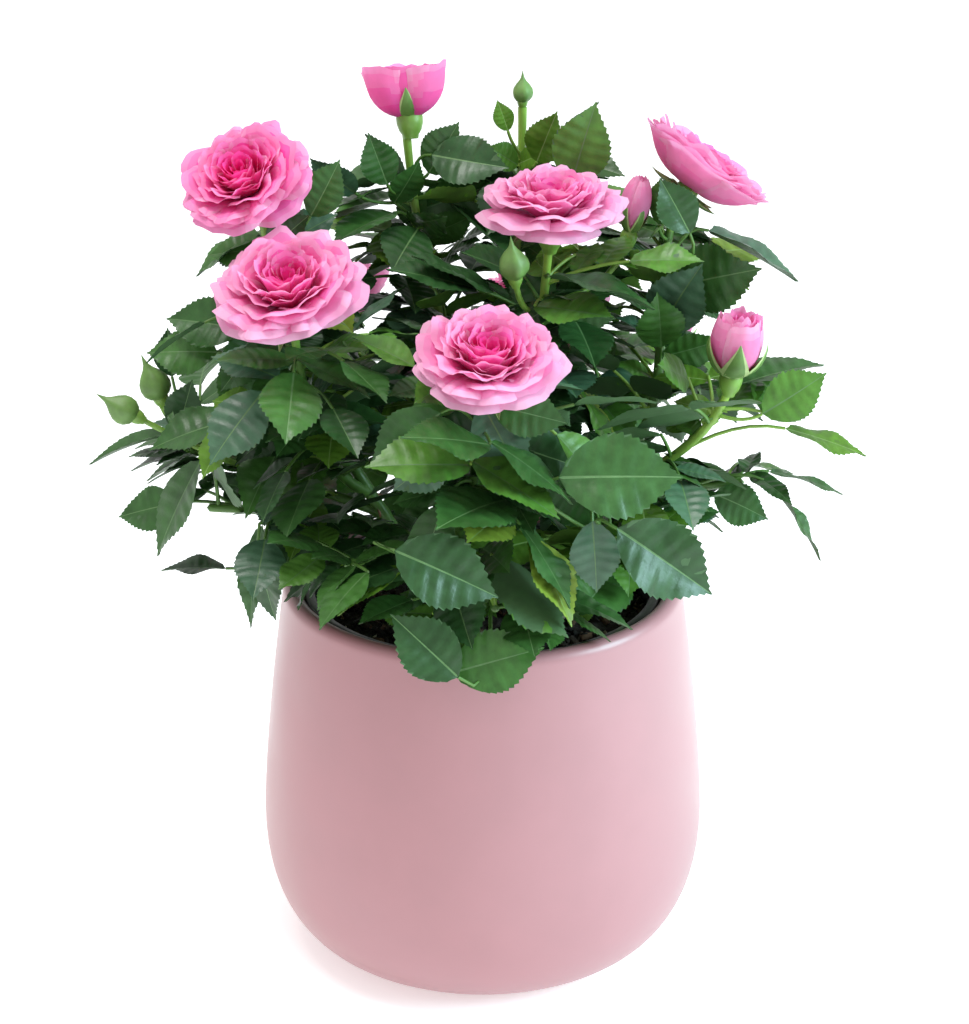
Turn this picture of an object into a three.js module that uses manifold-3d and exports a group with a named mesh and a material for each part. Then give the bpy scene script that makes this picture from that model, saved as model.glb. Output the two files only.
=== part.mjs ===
/**
 * A miniature rose bush in a glazed pot, in millimetres.
 *
 * +Z is up and the front faces -Y. The origin is the centre of the pot's flat foot.
 *
 * Five canes rise from the compost. Each cane forks into shoots, and a shoot is built in three lengths:
 * a bare bough, a leafy stem (one mass of foliage), and a flower stalk with its bloom. Neighbouring lengths
 * keep GAP between them. Every leaf is a spray: a thin leaf stalk that carries 3 or 5 leaflets.
 */
import * as THREE from "three";
import { mergeVertices } from "three/addons/utils/BufferGeometryUtils.js";
import Module from "manifold-3d";

const wasm = await Module();
wasm.setup();

// ---------------------------------------------------------------- driving dimensions

const GAP = 0.3;
const UP = new THREE.Vector3(0, 0, 1);

const POT = {
  height: 130, // foot to the top of the rim
  belly: 75, // widest outer radius
  bellyHeight: 47,
  foot: 44, // radius of the flat underside
  rim: 67, // outer radius just under the rounded rim
  mouth: 60.5, // inner radius at the rim
  rimRound: 4, // height of the rounded rim
  rimSteps: 4,
  floor: 8,
  footCurve: 2.3, // exponent of the quarter curve from foot to belly
  shoulderCurve: 1.4, // exponent of the taper from belly to rim
  sides: 36,
};
const POT_WALL = POT.rim - POT.mouth;

const LINER = { top: 127, bottom: 8.3, topRadius: 60, bottomRadius: 46, wall: 1.6, lip: 2.2, sides: 28 };
const COMPOST = { top: 118, mound: 1.5, flat: 46 };

const CANE = { foot: 2.6, tip: 2.1, flare: 1.9, sides: 6, steps: 6 };
const COLLAR = 7.5; // length of each shoot that is fused to its cane
const BOUGH = { start: 1.9, end: 1.6, sides: 4, steps: 3 };
const STEM = { start: 1.7, end: 1.4, sides: 3, steps: 5 };
const STALK = { start: 1.3, end: 1.5, sides: 4, steps: 2 };
const BOUGH_SHARE = 0.24; // share of a shoot's length that is bare bough
const STALK_SHARE = 0.85; // where the leafy stem ends and the flower stalk begins

const SPRAY = {
  reach: [30, 42], // length of the leaf stalk
  leaflet: [35, 43], // length of the end leaflet
  stalkRadius: 0.75,
  tipRadius: 0.55,
  droop: [0.7, 1.7],
  lowDroop: 0.45, // how much of that droop the low shoots have, which lie just over the rim
  threes: 0.7, // share of the sprays that have three leaflets, not five
  turn: 137.5, // degrees from one leaf to the next round the stem
};
const LEAFLET = { width: 0.84, widest: 0.42, thickness: 0.9, fold: 0.2, sag: 0.14 };
const PAIRS = {
  1: [],
  3: [{ at: 0.5, scale: 0.86 }],
  5: [
    { at: 0.14, scale: 0.62 },
    { at: 0.58, scale: 0.78 },
  ],
};
const PAIR_ANGLE = 70;
const PAIR_STEP = 0.05; // how much further along the stalk the second leaflet of a pair sits

// The space that leaves may fill: a squat dome round the canes.
const CROWN = { radius: 119, height: 88, depth: 66, middle: 185, square: 2.2 };
const CLEAR = { limb: 2.2, flower: 1, pot: 1.5, mass: 0.4 };

// ---------------------------------------------------------------- the plan of the bush

const CANES = [
  { name: "left", foot: [-21, -4], top: [-42, -8, 172] },
  { name: "front", foot: [-4, -24], top: [-8, -40, 164] },
  { name: "middle", foot: [2, 3], top: [2, 10, 194] },
  { name: "right", foot: [24, -6], top: [44, -6, 172] },
  { name: "back", foot: [5, 25], top: [6, 44, 168] },
];

// tip: the shoot's end, where its flower sits. face: the way that end points. size: a bloom's width, or a bud's
// height. leaves: how many sprays the seeded rule tries on the stem.
const SHOOTS = [
  { name: "upper_left", cane: "left", fork: 1, tip: [-71, -8, 260], face: [-0.25, -0.42, 0.87], flower: "open", size: 48, leaves: 7 },
  { name: "middle_left", cane: "left", fork: 0.82, tip: [-59, -40, 234], face: [-0.12, -0.32, 0.94], flower: "open", size: 55, leaves: 7 },
  { name: "far_left", cane: "left", fork: 0.66, tip: [-104, -2, 191], face: [-0.35, -0.05, 0.94], flower: "green", size: 13, leaves: 7 },
  { name: "front", cane: "front", fork: 1, tip: [1, -62, 218], face: [0.05, -0.5, 0.86], flower: "open", size: 48, leaves: 6 },
  { name: "centre", cane: "middle", fork: 0.8, tip: [21, -12, 251], face: [0.05, -0.18, 0.98], flower: "open", size: 50, leaves: 6 },
  { name: "top", cane: "middle", fork: 0.9, tip: [-25, 30, 276], face: [-0.08, 0, 1], flower: "half", size: 24, leaves: 7 },
  { name: "crest", cane: "middle", fork: 1, tip: [13, 36, 281], face: [0, 0, 1], flower: "green", size: 10, leaves: 6 },
  { name: "upper_right", cane: "right", fork: 1, tip: [66, 13, 259], face: [0.58, 0.1, 0.8], flower: "open", size: 49, leaves: 5 },
  { name: "far_right", cane: "right", fork: 0.8, tip: [79, -19, 206], face: [0.12, -0.05, 0.99], flower: "bud", size: 22, leaves: 7 },
  { name: "back_left", cane: "back", fork: 0.86, tip: [-50, 66, 196], face: [-0.4, 0.55, 0.73], flower: "open", size: 46, leaves: 5 },
  { name: "back", cane: "back", fork: 1, tip: [22, 80, 194], face: [0.1, 0.6, 0.79], flower: "open", size: 48, leaves: 6 },
  { name: "back_right", cane: "back", fork: 0.72, tip: [60, 66, 188], face: [0.5, 0.5, 0.7], flower: "bud", size: 21, leaves: 5 },
  { name: "low_left", cane: "left", fork: 0.46, tip: [-88, -24, 164], face: [-0.9, -0.2, 0.1], leaves: 6 },
  { name: "low_front_left", cane: "front", fork: 0.76, tip: [-42, -62, 160], face: [-0.6, -0.7, 0.1], leaves: 5 },
  { name: "low_front", cane: "front", fork: 0.5, tip: [4, -64, 146], face: [0.1, -0.9, 0], leaves: 5 },
  { name: "low_front_right", cane: "right", fork: 0.44, tip: [46, -52, 160], face: [0.5, -0.8, 0.1], leaves: 5 },
  { name: "low_right", cane: "right", fork: 0.62, tip: [86, 4, 162], face: [0.95, 0, 0.1], leaves: 5 },
  { name: "low_back_left", cane: "back", fork: 0.56, tip: [-56, 58, 158], face: [-0.6, 0.7, 0.1], leaves: 5 },
  { name: "low_back_right", cane: "back", fork: 0.44, tip: [58, 56, 156], face: [0.6, 0.7, 0.1], leaves: 5 },
];

// Sprays that reach for a place of their own: at is a share of the leafy stem, tip the end of the end leaflet.
const REACHES = [
  { shoot: "crest", at: 0.9, tip: [38, 25, 285], size: 27, count: 1, droop: -0.9 },
  { shoot: "top", at: 0.85, tip: [-38, 16, 277], size: 26, count: 1, droop: -0.6 },
  { shoot: "top", at: 0.7, tip: [-2, 14, 268], size: 31, count: 1, droop: 0.1 },
  { shoot: "upper_right", at: 0.7, tip: [103, 15, 226], size: 36, count: 3, droop: 0.7 },
  { shoot: "far_right", at: 0.75, tip: [112, 0, 205], size: 32, count: 3, droop: 0.2 },
  { shoot: "far_right", at: 0.4, tip: [122, -10, 180], size: 38, count: 1, droop: 0.5 },
  { shoot: "low_right", at: 0.9, tip: [121, 12, 155], size: 28, count: 3, droop: 0.1 },
  { shoot: "low_right", at: 0.6, tip: [113, -2, 136], size: 30, count: 1, droop: 0.9 },
  { shoot: "low_front_right", at: 0.9, tip: [72, -62, 153], size: 36, count: 3, droop: 0.5 },
  { shoot: "low_front", at: 0.75, tip: [-20, -84, 160], size: 34, count: 1, droop: 0.5 },
  { shoot: "low_front_right", at: 0.5, tip: [32, -76, 148], size: 36, count: 1, droop: 0.9 },
  { shoot: "middle_left", at: 0.75, tip: [-103, -20, 208], size: 36, count: 3, droop: 0.7 },
  { shoot: "crest", at: 0.45, tip: [-10, 6, 244], size: 38, count: 3, droop: 0.5 },
  { shoot: "upper_right", at: 0.45, tip: [40, -22, 224], size: 38, count: 3, droop: 0.7 },
  { shoot: "low_front", at: 0.98, tip: [22, -78, 137], size: 34, count: 1, droop: 0.8 },
  { shoot: "low_front", at: 0.85, tip: [-8, -79, 124], size: 34, count: 1, droop: 1.2 },
  { shoot: "far_left", at: 0.5, tip: [-129, -6, 174], size: 30, count: 3, droop: 0.4 },
  { shoot: "low_left", at: 0.95, tip: [-104, -32, 150], size: 34, count: 3, droop: 1.1 },
  { shoot: "low_left", at: 0.7, tip: [-109, 8, 127], size: 24, count: 1, droop: 0.4 },
  { shoot: "low_left", at: 0.45, tip: [-76, -36, 127], size: 34, count: 1, droop: 1.6 },
  { shoot: "low_front_left", at: 0.5, tip: [-64, -52, 134], size: 32, count: 1, droop: 1.2 },
  { shoot: "middle_left", at: 0.4, tip: [-34, -72, 196], size: 38, count: 3, droop: 1 },
];

// Buds that ride on a leafy stem.
const SIDE_BUDS = [
  { shoot: "far_left", at: 0.5, tip: [-111, -20, 194], face: [-0.75, -0.1, 0.5], flower: "closed", size: 12 },
  { shoot: "centre", at: 0.75, tip: [47, 6, 246], face: [0.2, 0, 1], flower: "closed", size: 20 },
  { shoot: "centre", at: 0.7, tip: [10, -30, 243], face: [-0.1, -0.2, 1], flower: "closed", size: 12 },
  { shoot: "front", at: 0.6, tip: [-16, -52, 203], face: [-0.2, 0, 1], flower: "closed", size: 11 },
];

// ---------------------------------------------------------------- small helpers

const vector = (list) => new THREE.Vector3(...list);
const radians = THREE.MathUtils.degToRad;
const mix = THREE.MathUtils.lerp;

/** A repeatable random generator: each call gives a number from low to high. */
function dice(seed) {
  let state = seed;
  return (low = 0, high = 1) => {
    state = (state * 1664525 + 1013904223) % 4294967296;
    return low + ((high - low) * state) / 4294967296;
  };
}

/** The solid inside a closed geometry. */
function solidOf(geometry) {
  const bare = geometry.index ? geometry.toNonIndexed() : geometry.clone();
  bare.deleteAttribute("normal");
  bare.deleteAttribute("uv");
  const merged = mergeVertices(bare, 1e-4);
  return new wasm.Manifold(
    new wasm.Mesh({
      numProp: 3,
      vertProperties: merged.attributes.position.array,
      triVerts: new Uint32Array(merged.index.array),
    }),
  );
}

/** Joins solids. Sealed hollows are filled and loose scraps dropped: only the largest body's outside is kept. */
function fuse(solids) {
  const bodies = wasm.Manifold.union(solids).decompose();
  return bodies.reduce((a, b) => (b.volume() > a.volume() ? b : a));
}

/** A named mesh of a solid. */
function node(name, solid, material) {
  const { vertProperties, triVerts } = solid.getMesh();
  const geometry = new THREE.BufferGeometry()
    .setAttribute("position", new THREE.BufferAttribute(vertProperties, 3))
    .setIndex(new THREE.BufferAttribute(triVerts, 1));
  geometry.computeVertexNormals();
  const mesh = new THREE.Mesh(geometry, material);
  mesh.name = name;
  return mesh;
}

/** A tapered limb along a stretch of a curve; from and to are shares of its length, side sets how it is rolled. */
function limb(curve, from, to, shape, radiusAt, side = new THREE.Vector3(0.6, 0.8, 0.1)) {
  const geometry = new THREE.CylinderGeometry(1, 1, 1, shape.sides, shape.steps);
  const rings = [];
  let across = side;
  for (let i = 0; i <= shape.steps; i++) {
    const u = mix(from, to, i / shape.steps);
    const tangent = curve.getTangentAt(u);
    across = across.clone().addScaledVector(tangent, -across.dot(tangent)).normalize();
    const other = new THREE.Vector3().crossVectors(across, tangent);
    rings.push({ middle: curve.getPointAt(u), across, other, radius: radiusAt(i / shape.steps) });
  }
  const at = geometry.attributes.position;
  for (let i = 0; i < at.count; i++) {
    const ring = rings[Math.round((at.getY(i) + 0.5) * shape.steps)];
    const point = ring.middle
      .clone()
      .addScaledVector(ring.across, at.getX(i) * ring.radius)
      .addScaledVector(ring.other, at.getZ(i) * ring.radius);
    at.setXYZ(i, point.x, point.y, point.z);
  }
  return solidOf(geometry);
}

const taper = (ends) => (share) => mix(ends.start, ends.end, share);

/** A thin blade with a closed outline, thickest at its heart and sharp at its edge. */
function blade(outline, heart, normal, thickness) {
  const count = outline.length;
  const half = normal.clone().multiplyScalar(thickness / 2);
  const points = [...outline, heart.clone().add(half), heart.clone().sub(half)];
  const faces = outline.flatMap((_, i) => {
    const next = (i + 1) % count;
    return [count, i, next, count + 1, next, i];
  });
  return new wasm.Manifold(
    new wasm.Mesh({
      numProp: 3,
      vertProperties: new Float32Array(points.flatMap((p) => p.toArray())),
      triVerts: new Uint32Array(faces),
    }),
  );
}

/** A solid of revolution about +Z from a profile of [radius, height] pairs, from axis to axis. */
function turned(profile, sides) {
  const points = profile.map(([radius, height]) => new THREE.Vector2(radius, height));
  return solidOf(new THREE.LatheGeometry(points, sides).rotateX(Math.PI / 2));
}

// ---------------------------------------------------------------- pot, liner and compost

/** The pot's outer radius at a height under its rounded rim. */
function potRadius(height) {
  if (height < POT.bellyHeight) {
    const share = 1 - height / POT.bellyHeight;
    return POT.foot + (POT.belly - POT.foot) * (1 - share ** POT.footCurve) ** (1 / POT.footCurve);
  }
  const share = (height - POT.bellyHeight) / (POT.height - POT.rimRound - POT.bellyHeight);
  return POT.belly - (POT.belly - POT.rim) * share ** POT.shoulderCurve;
}

function potSolid() {
  const shoulder = POT.height - POT.rimRound;
  const belowBelly = [0, 0.03, 0.1, 0.22, 0.42, 0.7].map((share) => share * POT.bellyHeight);
  const aboveBelly = [0, 0.4, 0.75, 1].map((share) => mix(POT.bellyHeight, shoulder, share));
  const outer = [...belowBelly, ...aboveBelly].map((height) => [potRadius(height), height]);
  const rim = [];
  for (let step = 1; step < POT.rimSteps; step++) {
    const angle = (step / POT.rimSteps) * Math.PI;
    const middle = (POT.rim + POT.mouth) / 2;
    rim.push([middle + (POT_WALL / 2) * Math.cos(angle), shoulder + POT.rimRound * Math.sin(angle)]);
  }
  const inner = [shoulder, POT.bellyHeight, 18, POT.floor];
  const inside = inner.map((height) => [potRadius(height) - POT_WALL, height]);
  return turned([[0, 0], ...outer, ...rim, ...inside, [0, POT.floor]], POT.sides);
}

/** The outer radius of the plastic liner, which tapers to its foot. */
function linerRadius(height) {
  return mix(LINER.bottomRadius, LINER.topRadius - LINER.lip, (height - LINER.bottom) / (LINER.top - LINER.bottom));
}

function linerSolid() {
  const lipFoot = LINER.top - 3;
  const floor = LINER.bottom + LINER.wall;
  return turned(
    [
      [0, LINER.bottom],
      [LINER.bottomRadius, LINER.bottom],
      [linerRadius(lipFoot), lipFoot],
      [LINER.topRadius, lipFoot + 0.8],
      [LINER.topRadius, LINER.top - 0.6],
      [LINER.topRadius - 0.8, LINER.top],
      [linerRadius(LINER.top) - LINER.wall, LINER.top],
      [linerRadius(floor) - LINER.wall, floor],
      [0, floor],
    ],
    LINER.sides,
  );
}

function compostSolid() {
  const bottom = LINER.bottom + LINER.wall + GAP;
  const inset = LINER.wall + GAP * 2;
  const edge = COMPOST.top - COMPOST.mound;
  return turned(
    [
      [0, bottom],
      [linerRadius(bottom) - inset, bottom],
      [linerRadius(edge) - inset, edge],
      [COMPOST.flat, COMPOST.top],
      [0, COMPOST.top],
    ],
    LINER.sides,
  );
}

// ---------------------------------------------------------------- canes and shoots

function canePath(cane) {
  const foot = new THREE.Vector3(cane.foot[0], cane.foot[1], COMPOST.top + GAP);
  const top = vector(cane.top);
  const rise = (top.z - foot.z) * 0.4;
  const lean = new THREE.Vector3(top.x - foot.x, top.y - foot.y, rise * 2).normalize();
  return new THREE.CubicBezierCurve3(
    foot,
    foot.clone().addScaledVector(UP, rise),
    top.clone().addScaledVector(lean, -rise),
    top,
  );
}

const caneRadius = (share) => mix(CANE.foot, CANE.tip, share) + CANE.flare * Math.exp(-share * 16);

function shootPath(shoot) {
  const along = canePath(CANES.find((cane) => cane.name === shoot.cane));
  const start = along.getPointAt(shoot.fork);
  const tip = vector(shoot.tip);
  const length = start.distanceTo(tip);
  const outward = new THREE.Vector3(tip.x - start.x, tip.y - start.y, 0).normalize();
  const leave = along.getTangentAt(shoot.fork).multiplyScalar(0.6).addScaledVector(outward, 0.75).normalize();
  const arrive = vector(shoot.face).normalize();
  return new THREE.CubicBezierCurve3(
    start,
    start.clone().addScaledVector(leave, length * 0.36),
    tip.clone().addScaledVector(arrive, -length * 0.3),
    tip,
  );
}

/** A shoot's path and the lengths along it where collar, bough, leafy stem and stalk begin and end. */
function layOut(shoot) {
  const path = shootPath(shoot);
  const length = path.getLength();
  const share = (distance) => distance / length;
  const collar = share(COLLAR);
  const blind = !shoot.flower;
  const boughEnd = blind ? collar : Math.max(BOUGH_SHARE, collar * 1.6);
  return { path, length, collar, boughEnd, stemEnd: blind ? 1 : STALK_SHARE, gap: share(GAP) };
}

const plans = new Map(SHOOTS.map((shoot) => [shoot.name, layOut(shoot)]));

/** Points along a stretch of a path, a few millimetres apart. */
function samples(path, from, to, every = 4) {
  const count = Math.max(2, Math.ceil(((to - from) * path.getLength()) / every));
  return Array.from({ length: count + 1 }, (_, i) => path.getPointAt(mix(from, to, i / count)));
}

// ---------------------------------------------------------------- room for leaves

const stemSites = SHOOTS.map(({ name }) => {
  const plan = plans.get(name);
  return { name, points: samples(plan.path, plan.boughEnd, plan.stemEnd, 6) };
});

const limbs = [
  ...CANES.map((cane) => ({ points: samples(canePath(cane), 0, 1), radius: CANE.foot })),
  ...SHOOTS.map(({ name }) => {
    const plan = plans.get(name);
    return { points: samples(plan.path, 0, plan.boughEnd), radius: BOUGH.start };
  }),
  ...SHOOTS.filter((shoot) => shoot.flower).map(({ name }) => {
    const plan = plans.get(name);
    return { points: samples(plan.path, plan.stemEnd, 1), radius: STALK.end };
  }),
];

/** A flower's space: a squashed ball round its petals. */
const flowerRooms = SHOOTS.filter((shoot) => shoot.flower).map((shoot) => {
  const face = vector(shoot.face).normalize();
  const open = shoot.flower === "open";
  const depth = open ? shoot.size * 0.24 : shoot.size * 0.62;
  const radius = open ? shoot.size * 0.52 : shoot.size * 0.6;
  return { middle: vector(shoot.tip).addScaledVector(face, depth * 0.9), face, depth, radius };
});

const nearest = (point, points) => Math.min(...points.map((p) => p.distanceTo(point)));

function insideCrown(point) {
  const rise = point.z - CROWN.middle;
  const height = rise > 0 ? CROWN.height : CROWN.depth;
  const out = Math.hypot(point.x, point.y) / CROWN.radius;
  return out ** CROWN.square + Math.abs(rise / height) ** CROWN.square <= 1;
}

function insidePot(point) {
  const radius = Math.hypot(point.x, point.y);
  const wall = potRadius(Math.min(point.z, POT.height - POT.rimRound));
  return point.z < POT.height + CLEAR.pot && radius < wall + CLEAR.pot;
}

function insideFlower(point) {
  return flowerRooms.some(({ middle, face, depth, radius }) => {
    const offset = point.clone().sub(middle);
    const along = offset.dot(face);
    const aside = Math.sqrt(Math.max(0, offset.lengthSq() - along * along));
    return (along / (depth + CLEAR.flower)) ** 2 + (aside / (radius + CLEAR.flower)) ** 2 < 1;
  });
}

/** True if a point lies in a mass's own space: nearer its stem than any other, clear of limbs, flowers and pot. */
function hasRoom(point, mass, crown = true) {
  if (crown && !insideCrown(point)) return false;
  if (insidePot(point) || insideFlower(point)) return false;
  if (limbs.some(({ points, radius }) => nearest(point, points) < radius + CLEAR.limb)) return false;
  const own = nearest(point, stemSites.find(({ name }) => name === mass).points);
  return stemSites.every(({ name, points }) => name === mass || nearest(point, points) > own + CLEAR.mass);
}

// ---------------------------------------------------------------- sprays and leaflets

/** A point on a leaflet: along runs from 0 at its foot to 1 at its tip, across from -1 to 1. */
function leafletPoint(leaflet, along, across) {
  const { foot, ahead, side, normal, length } = leaflet;
  const { width, widest, fold, sag } = LEAFLET;
  const swell = along < widest ? along / widest : (1 - along) / (1 - widest);
  const half = (length * width * swell) / 2;
  return foot
    .clone()
    .addScaledVector(ahead, length * along)
    .addScaledVector(side, half * across)
    .addScaledVector(normal, half * Math.abs(across) * fold - length * sag * along * along);
}

/** A point on the two straight lengths that a leaf stalk is built from. */
function onStalk(stalk, at) {
  const [from, to] = at < 0.5 ? [0, 0.5] : [0.5, 1];
  return stalk.getPointAt(from).lerp(stalk.getPointAt(to), (at - from) * 2);
}

/** A leaf stalk from start over elbow to end, with count leaflets of which the one at the end measures size. */
function spray({ start, elbow, end, roll = 0, count, size }) {
  const stalk = new THREE.QuadraticBezierCurve3(start, elbow, end);
  const first = stalk.getTangent(0);
  const level = new THREE.Vector3().crossVectors(first, UP).normalize();
  const rolled = level.clone().applyAxisAngle(first, roll);
  const leaflets = [];
  const add = (at, angle, length) => {
    const ahead = stalk.getTangent(at);
    const side = level.clone().applyAxisAngle(ahead, roll);
    const normal = new THREE.Vector3().crossVectors(side, ahead);
    ahead.applyAxisAngle(normal, radians(angle));
    side.applyAxisAngle(normal, radians(angle));
    leaflets.push({ foot: onStalk(stalk, at), ahead, side, normal, length });
  };
  add(1, 0, size);
  for (const { at, scale } of PAIRS[count]) {
    add(at, PAIR_ANGLE, size * scale);
    add(at + PAIR_STEP, -PAIR_ANGLE, size * scale);
  }
  return { stalk, rolled, leaflets };
}

/** A spray that leaves its stem one way and droops. */
function freeSpray(start, leave, reach, droop, rest) {
  const elbow = start.clone().addScaledVector(leave.clone().normalize(), reach / 2);
  const onward = leave.clone().normalize().addScaledVector(UP, -droop).normalize();
  return spray({ start, elbow, end: elbow.clone().addScaledVector(onward, reach / 2), ...rest });
}

/** A spray whose end leaflet reaches a given tip. */
function aimedSpray(start, { tip, size, count, droop }) {
  const ahead = vector(tip).sub(start).normalize().addScaledVector(UP, -droop * 0.6).normalize();
  const level = new THREE.Vector3().crossVectors(ahead, UP).normalize();
  const normal = new THREE.Vector3().crossVectors(level, ahead);
  const end = vector(tip).addScaledVector(ahead, -size).addScaledVector(normal, size * LEAFLET.sag);
  const elbow = end.clone().addScaledVector(ahead, -end.distanceTo(start) * 0.45);
  return spray({ start, elbow, end, count, size });
}

const PROBES = [0.2, 0.42, 0.6, 0.8, 1].flatMap((along) => [-1, -0.5, 0, 0.5, 1].map((across) => [along, across]));

const leafletFits = (leaflet, mass, crown) =>
  PROBES.every(([along, across]) => hasRoom(leafletPoint(leaflet, along, across), mass, crown));

const stalkFits = ({ stalk }, mass) => [0.35, 0.7, 1].every((at) => hasRoom(stalk.getPoint(at), mass, false));

/**
 * The foliage of one shoot: its stem, its side buds, the sprays that reach for a place, then sprays that alternate
 * up the stem, each turned to the side where most of its leaflets fit.
 */
function growFoliage(shoot, index) {
  const { path, boughEnd, stemEnd, gap } = plans.get(shoot.name);
  const random = dice(7001 + index * 977);
  const solids = [limb(path, boughEnd + gap, stemEnd, STEM, taper(STEM))];
  const onStem = (share) => mix(boughEnd, stemEnd, share);
  const isFree = (solid) => solids.every((other) => other.intersect(solid).isEmpty());
  const trim = (tried, crown) => ({
    ...tried,
    leaflets: tried.leaflets.filter((one) => leafletFits(one, shoot.name, crown) && isFree(leafletSolid(one))),
  });
  const keep = (best) => solids.push(stalkSolid(best, 0), ...best.leaflets.map(leafletSolid));

  for (const bud of SIDE_BUDS.filter((one) => one.shoot === shoot.name)) {
    solids.push(sideBudSolid(bud, path.getPointAt(onStem(bud.at))));
  }
  for (const reach of REACHES.filter((one) => one.shoot === shoot.name)) {
    const best = trim(aimedSpray(path.getPointAt(onStem(reach.at)), reach), false);
    if (best.leaflets.length) keep(best);
  }
  let turn = random(0, 360);
  for (let i = 0; i < shoot.leaves; i++) {
    const share = mix(0.06, 0.95, i / (shoot.leaves - 1));
    const start = path.getPointAt(onStem(share));
    const tangent = path.getTangentAt(onStem(share));
    const reach = random(...SPRAY.reach);
    const size = random(...SPRAY.leaflet);
    const droop = random(...SPRAY.droop) * mix(1.25, 0.75, share) * (shoot.flower ? 1 : SPRAY.lowDroop);
    const roll = radians(random(-26, 26));
    const count = random() < SPRAY.threes ? 3 : 5;
    turn += SPRAY.turn;
    let best = { leaflets: [] };
    for (const [swing, scale] of SWINGS) {
      const angle = radians(turn + swing);
      const outward = new THREE.Vector3(Math.cos(angle), Math.sin(angle), 0);
      outward.addScaledVector(tangent, -outward.dot(tangent));
      if (outward.length() < 0.35) continue;
      const leave = outward.normalize().addScaledVector(tangent, 0.45).addScaledVector(UP, 0.25);
      const free = freeSpray(start, leave, reach * scale, droop, { roll, count, size: size * mix(1, scale, 0.5) });
      if (!stalkFits(free, shoot.name) || !isFree(stalkSolid(free, 0.15))) continue;
      const tried = trim(free, true);
      if (tried.leaflets.length > best.leaflets.length) best = tried;
      if (best.leaflets.length === count) break;
    }
    if (best.leaflets.length) keep(best);
  }
  return fuse(solids);
}

// Turns, in degrees, and lengths that a spray tries in order.
const SWINGS = [
  [0, 1], [40, 1], [-40, 1], [80, 1], [-80, 1], [120, 1], [-120, 1], [180, 1],
  [0, 0.7], [60, 0.7], [-60, 0.7], [120, 0.7], [-120, 0.7], [180, 0.7], [0, 0.5], [90, 0.5], [-90, 0.5], [180, 0.5],
];

const LEAF_OUTLINE = [[0, 0], [LEAFLET.widest, 1], [1, 0], [LEAFLET.widest, -1]];

function leafletSolid(leaflet) {
  const root = { ...leaflet, foot: leaflet.foot.clone().addScaledVector(leaflet.ahead, -SPRAY.tipRadius / 2) };
  const outline = LEAF_OUTLINE.map(([along, across]) => leafletPoint(root, along, across));
  return blade(outline, leafletPoint(root, LEAFLET.widest, 0), leaflet.normal, LEAFLET.thickness);
}

/** The leaf stalk of a spray, from a share of its length to its end. */
function stalkSolid({ stalk, rolled }, from) {
  const radiusAt = (share) => mix(SPRAY.stalkRadius, SPRAY.tipRadius, mix(from, 1, share));
  return limb(stalk, from, 1, { sides: 3, steps: 2 }, radiusAt, rolled);
}

// ---------------------------------------------------------------- flowers

/**
 * A point on a petal or sepal of a flower that faces +Z. The blade leaves the neck at turn degrees round the axis,
 * leans start degrees off the axis at its foot and end degrees at its tip. It keeps inside its own wedge, so it
 * never cuts its neighbours: across runs from -1 to 1 over spread degrees.
 */
function petalPoint({ turn, start, end, length, spread, lift }, along, across) {
  const first = radians(start);
  const bend = radians(end - start) * along;
  const last = first + bend;
  const out = (along * length * (Math.cos(first) - Math.cos(last))) / bend || 0;
  const rise = (along * length * (Math.sin(last) - Math.sin(first))) / bend || 0;
  const angle = radians(turn + (across * spread) / 2);
  return new THREE.Vector3(out * Math.cos(angle), out * Math.sin(angle), lift + rise);
}

function petalSolid(petal, thickness, outline) {
  const rim = outline.map(([along, across]) => petalPoint(petal, along, across));
  const [near, heart, far] = [0.4, 0.55, 0.7].map((along) => petalPoint(petal, along, 0));
  const side = new THREE.Vector3(-Math.sin(radians(petal.turn)), Math.cos(radians(petal.turn)), 0);
  const normal = new THREE.Vector3().crossVectors(side, far.sub(near)).normalize();
  return blade(rim, heart, normal, thickness);
}

const PETAL_OUTLINE = [[0, 0], [0.74, 1], [1, 0.68], [1, -0.68], [0.74, -1]];
const SEPAL_OUTLINE = [[0, 0], [0.35, 1], [1, 0], [0.35, -1]];
const PETAL_THICKNESS = 1.1;

/** A flower's heart, its rings of petals, its sepals and its hip, all in shares of the flower's size. */
const FLOWERS = {
  open: {
    heart: { radius: 0.13, top: 0.34 },
    petals: [
      { count: 6, turn: 30, start: 50, end: 94, length: 0.53 },
      { count: 5, turn: 0, start: 34, end: 70, length: 0.47 },
      { count: 4, turn: 20, start: 14, end: 36, length: 0.42 },
    ],
    hip: 0.075,
  },
  half: {
    heart: { radius: 0.4, top: 0.74 },
    petals: [{ count: 5, turn: 20, start: 66, end: 4, length: 1.0 }],
    sepals: { start: 75, end: 20, length: 0.8, spread: 26 },
    hip: 0.17,
  },
  bud: {
    heart: { radius: 0.3, top: 0.96 },
    petals: [{ count: 4, turn: 20, start: 50, end: -12, length: 0.98 }],
    sepals: { start: 60, end: 6, length: 0.74, spread: 40 },
    hip: 0.16,
  },
  green: {
    heart: { radius: 0.32, top: 1.0 },
    petals: [],
    sepals: { start: 60, end: -30, length: 1.3, spread: 50 },
    hip: 0.24,
  },
  closed: { heart: { radius: 0.27, top: 1.0 }, petals: [], hip: 0.2 },
};
const HEART_SIDES = 6;

/** The heart of a flower with its hip under it, on a profile given in shares of the flower's size. */
function heartSolid({ heart, hip }, size) {
  const profile = [[0, -hip], [hip, -hip / 2], [hip, hip / 2], [heart.radius, heart.top * 0.55], [0, heart.top]];
  return turned(profile.map(([radius, height]) => [radius * size, height * size]), HEART_SIDES);
}

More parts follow.
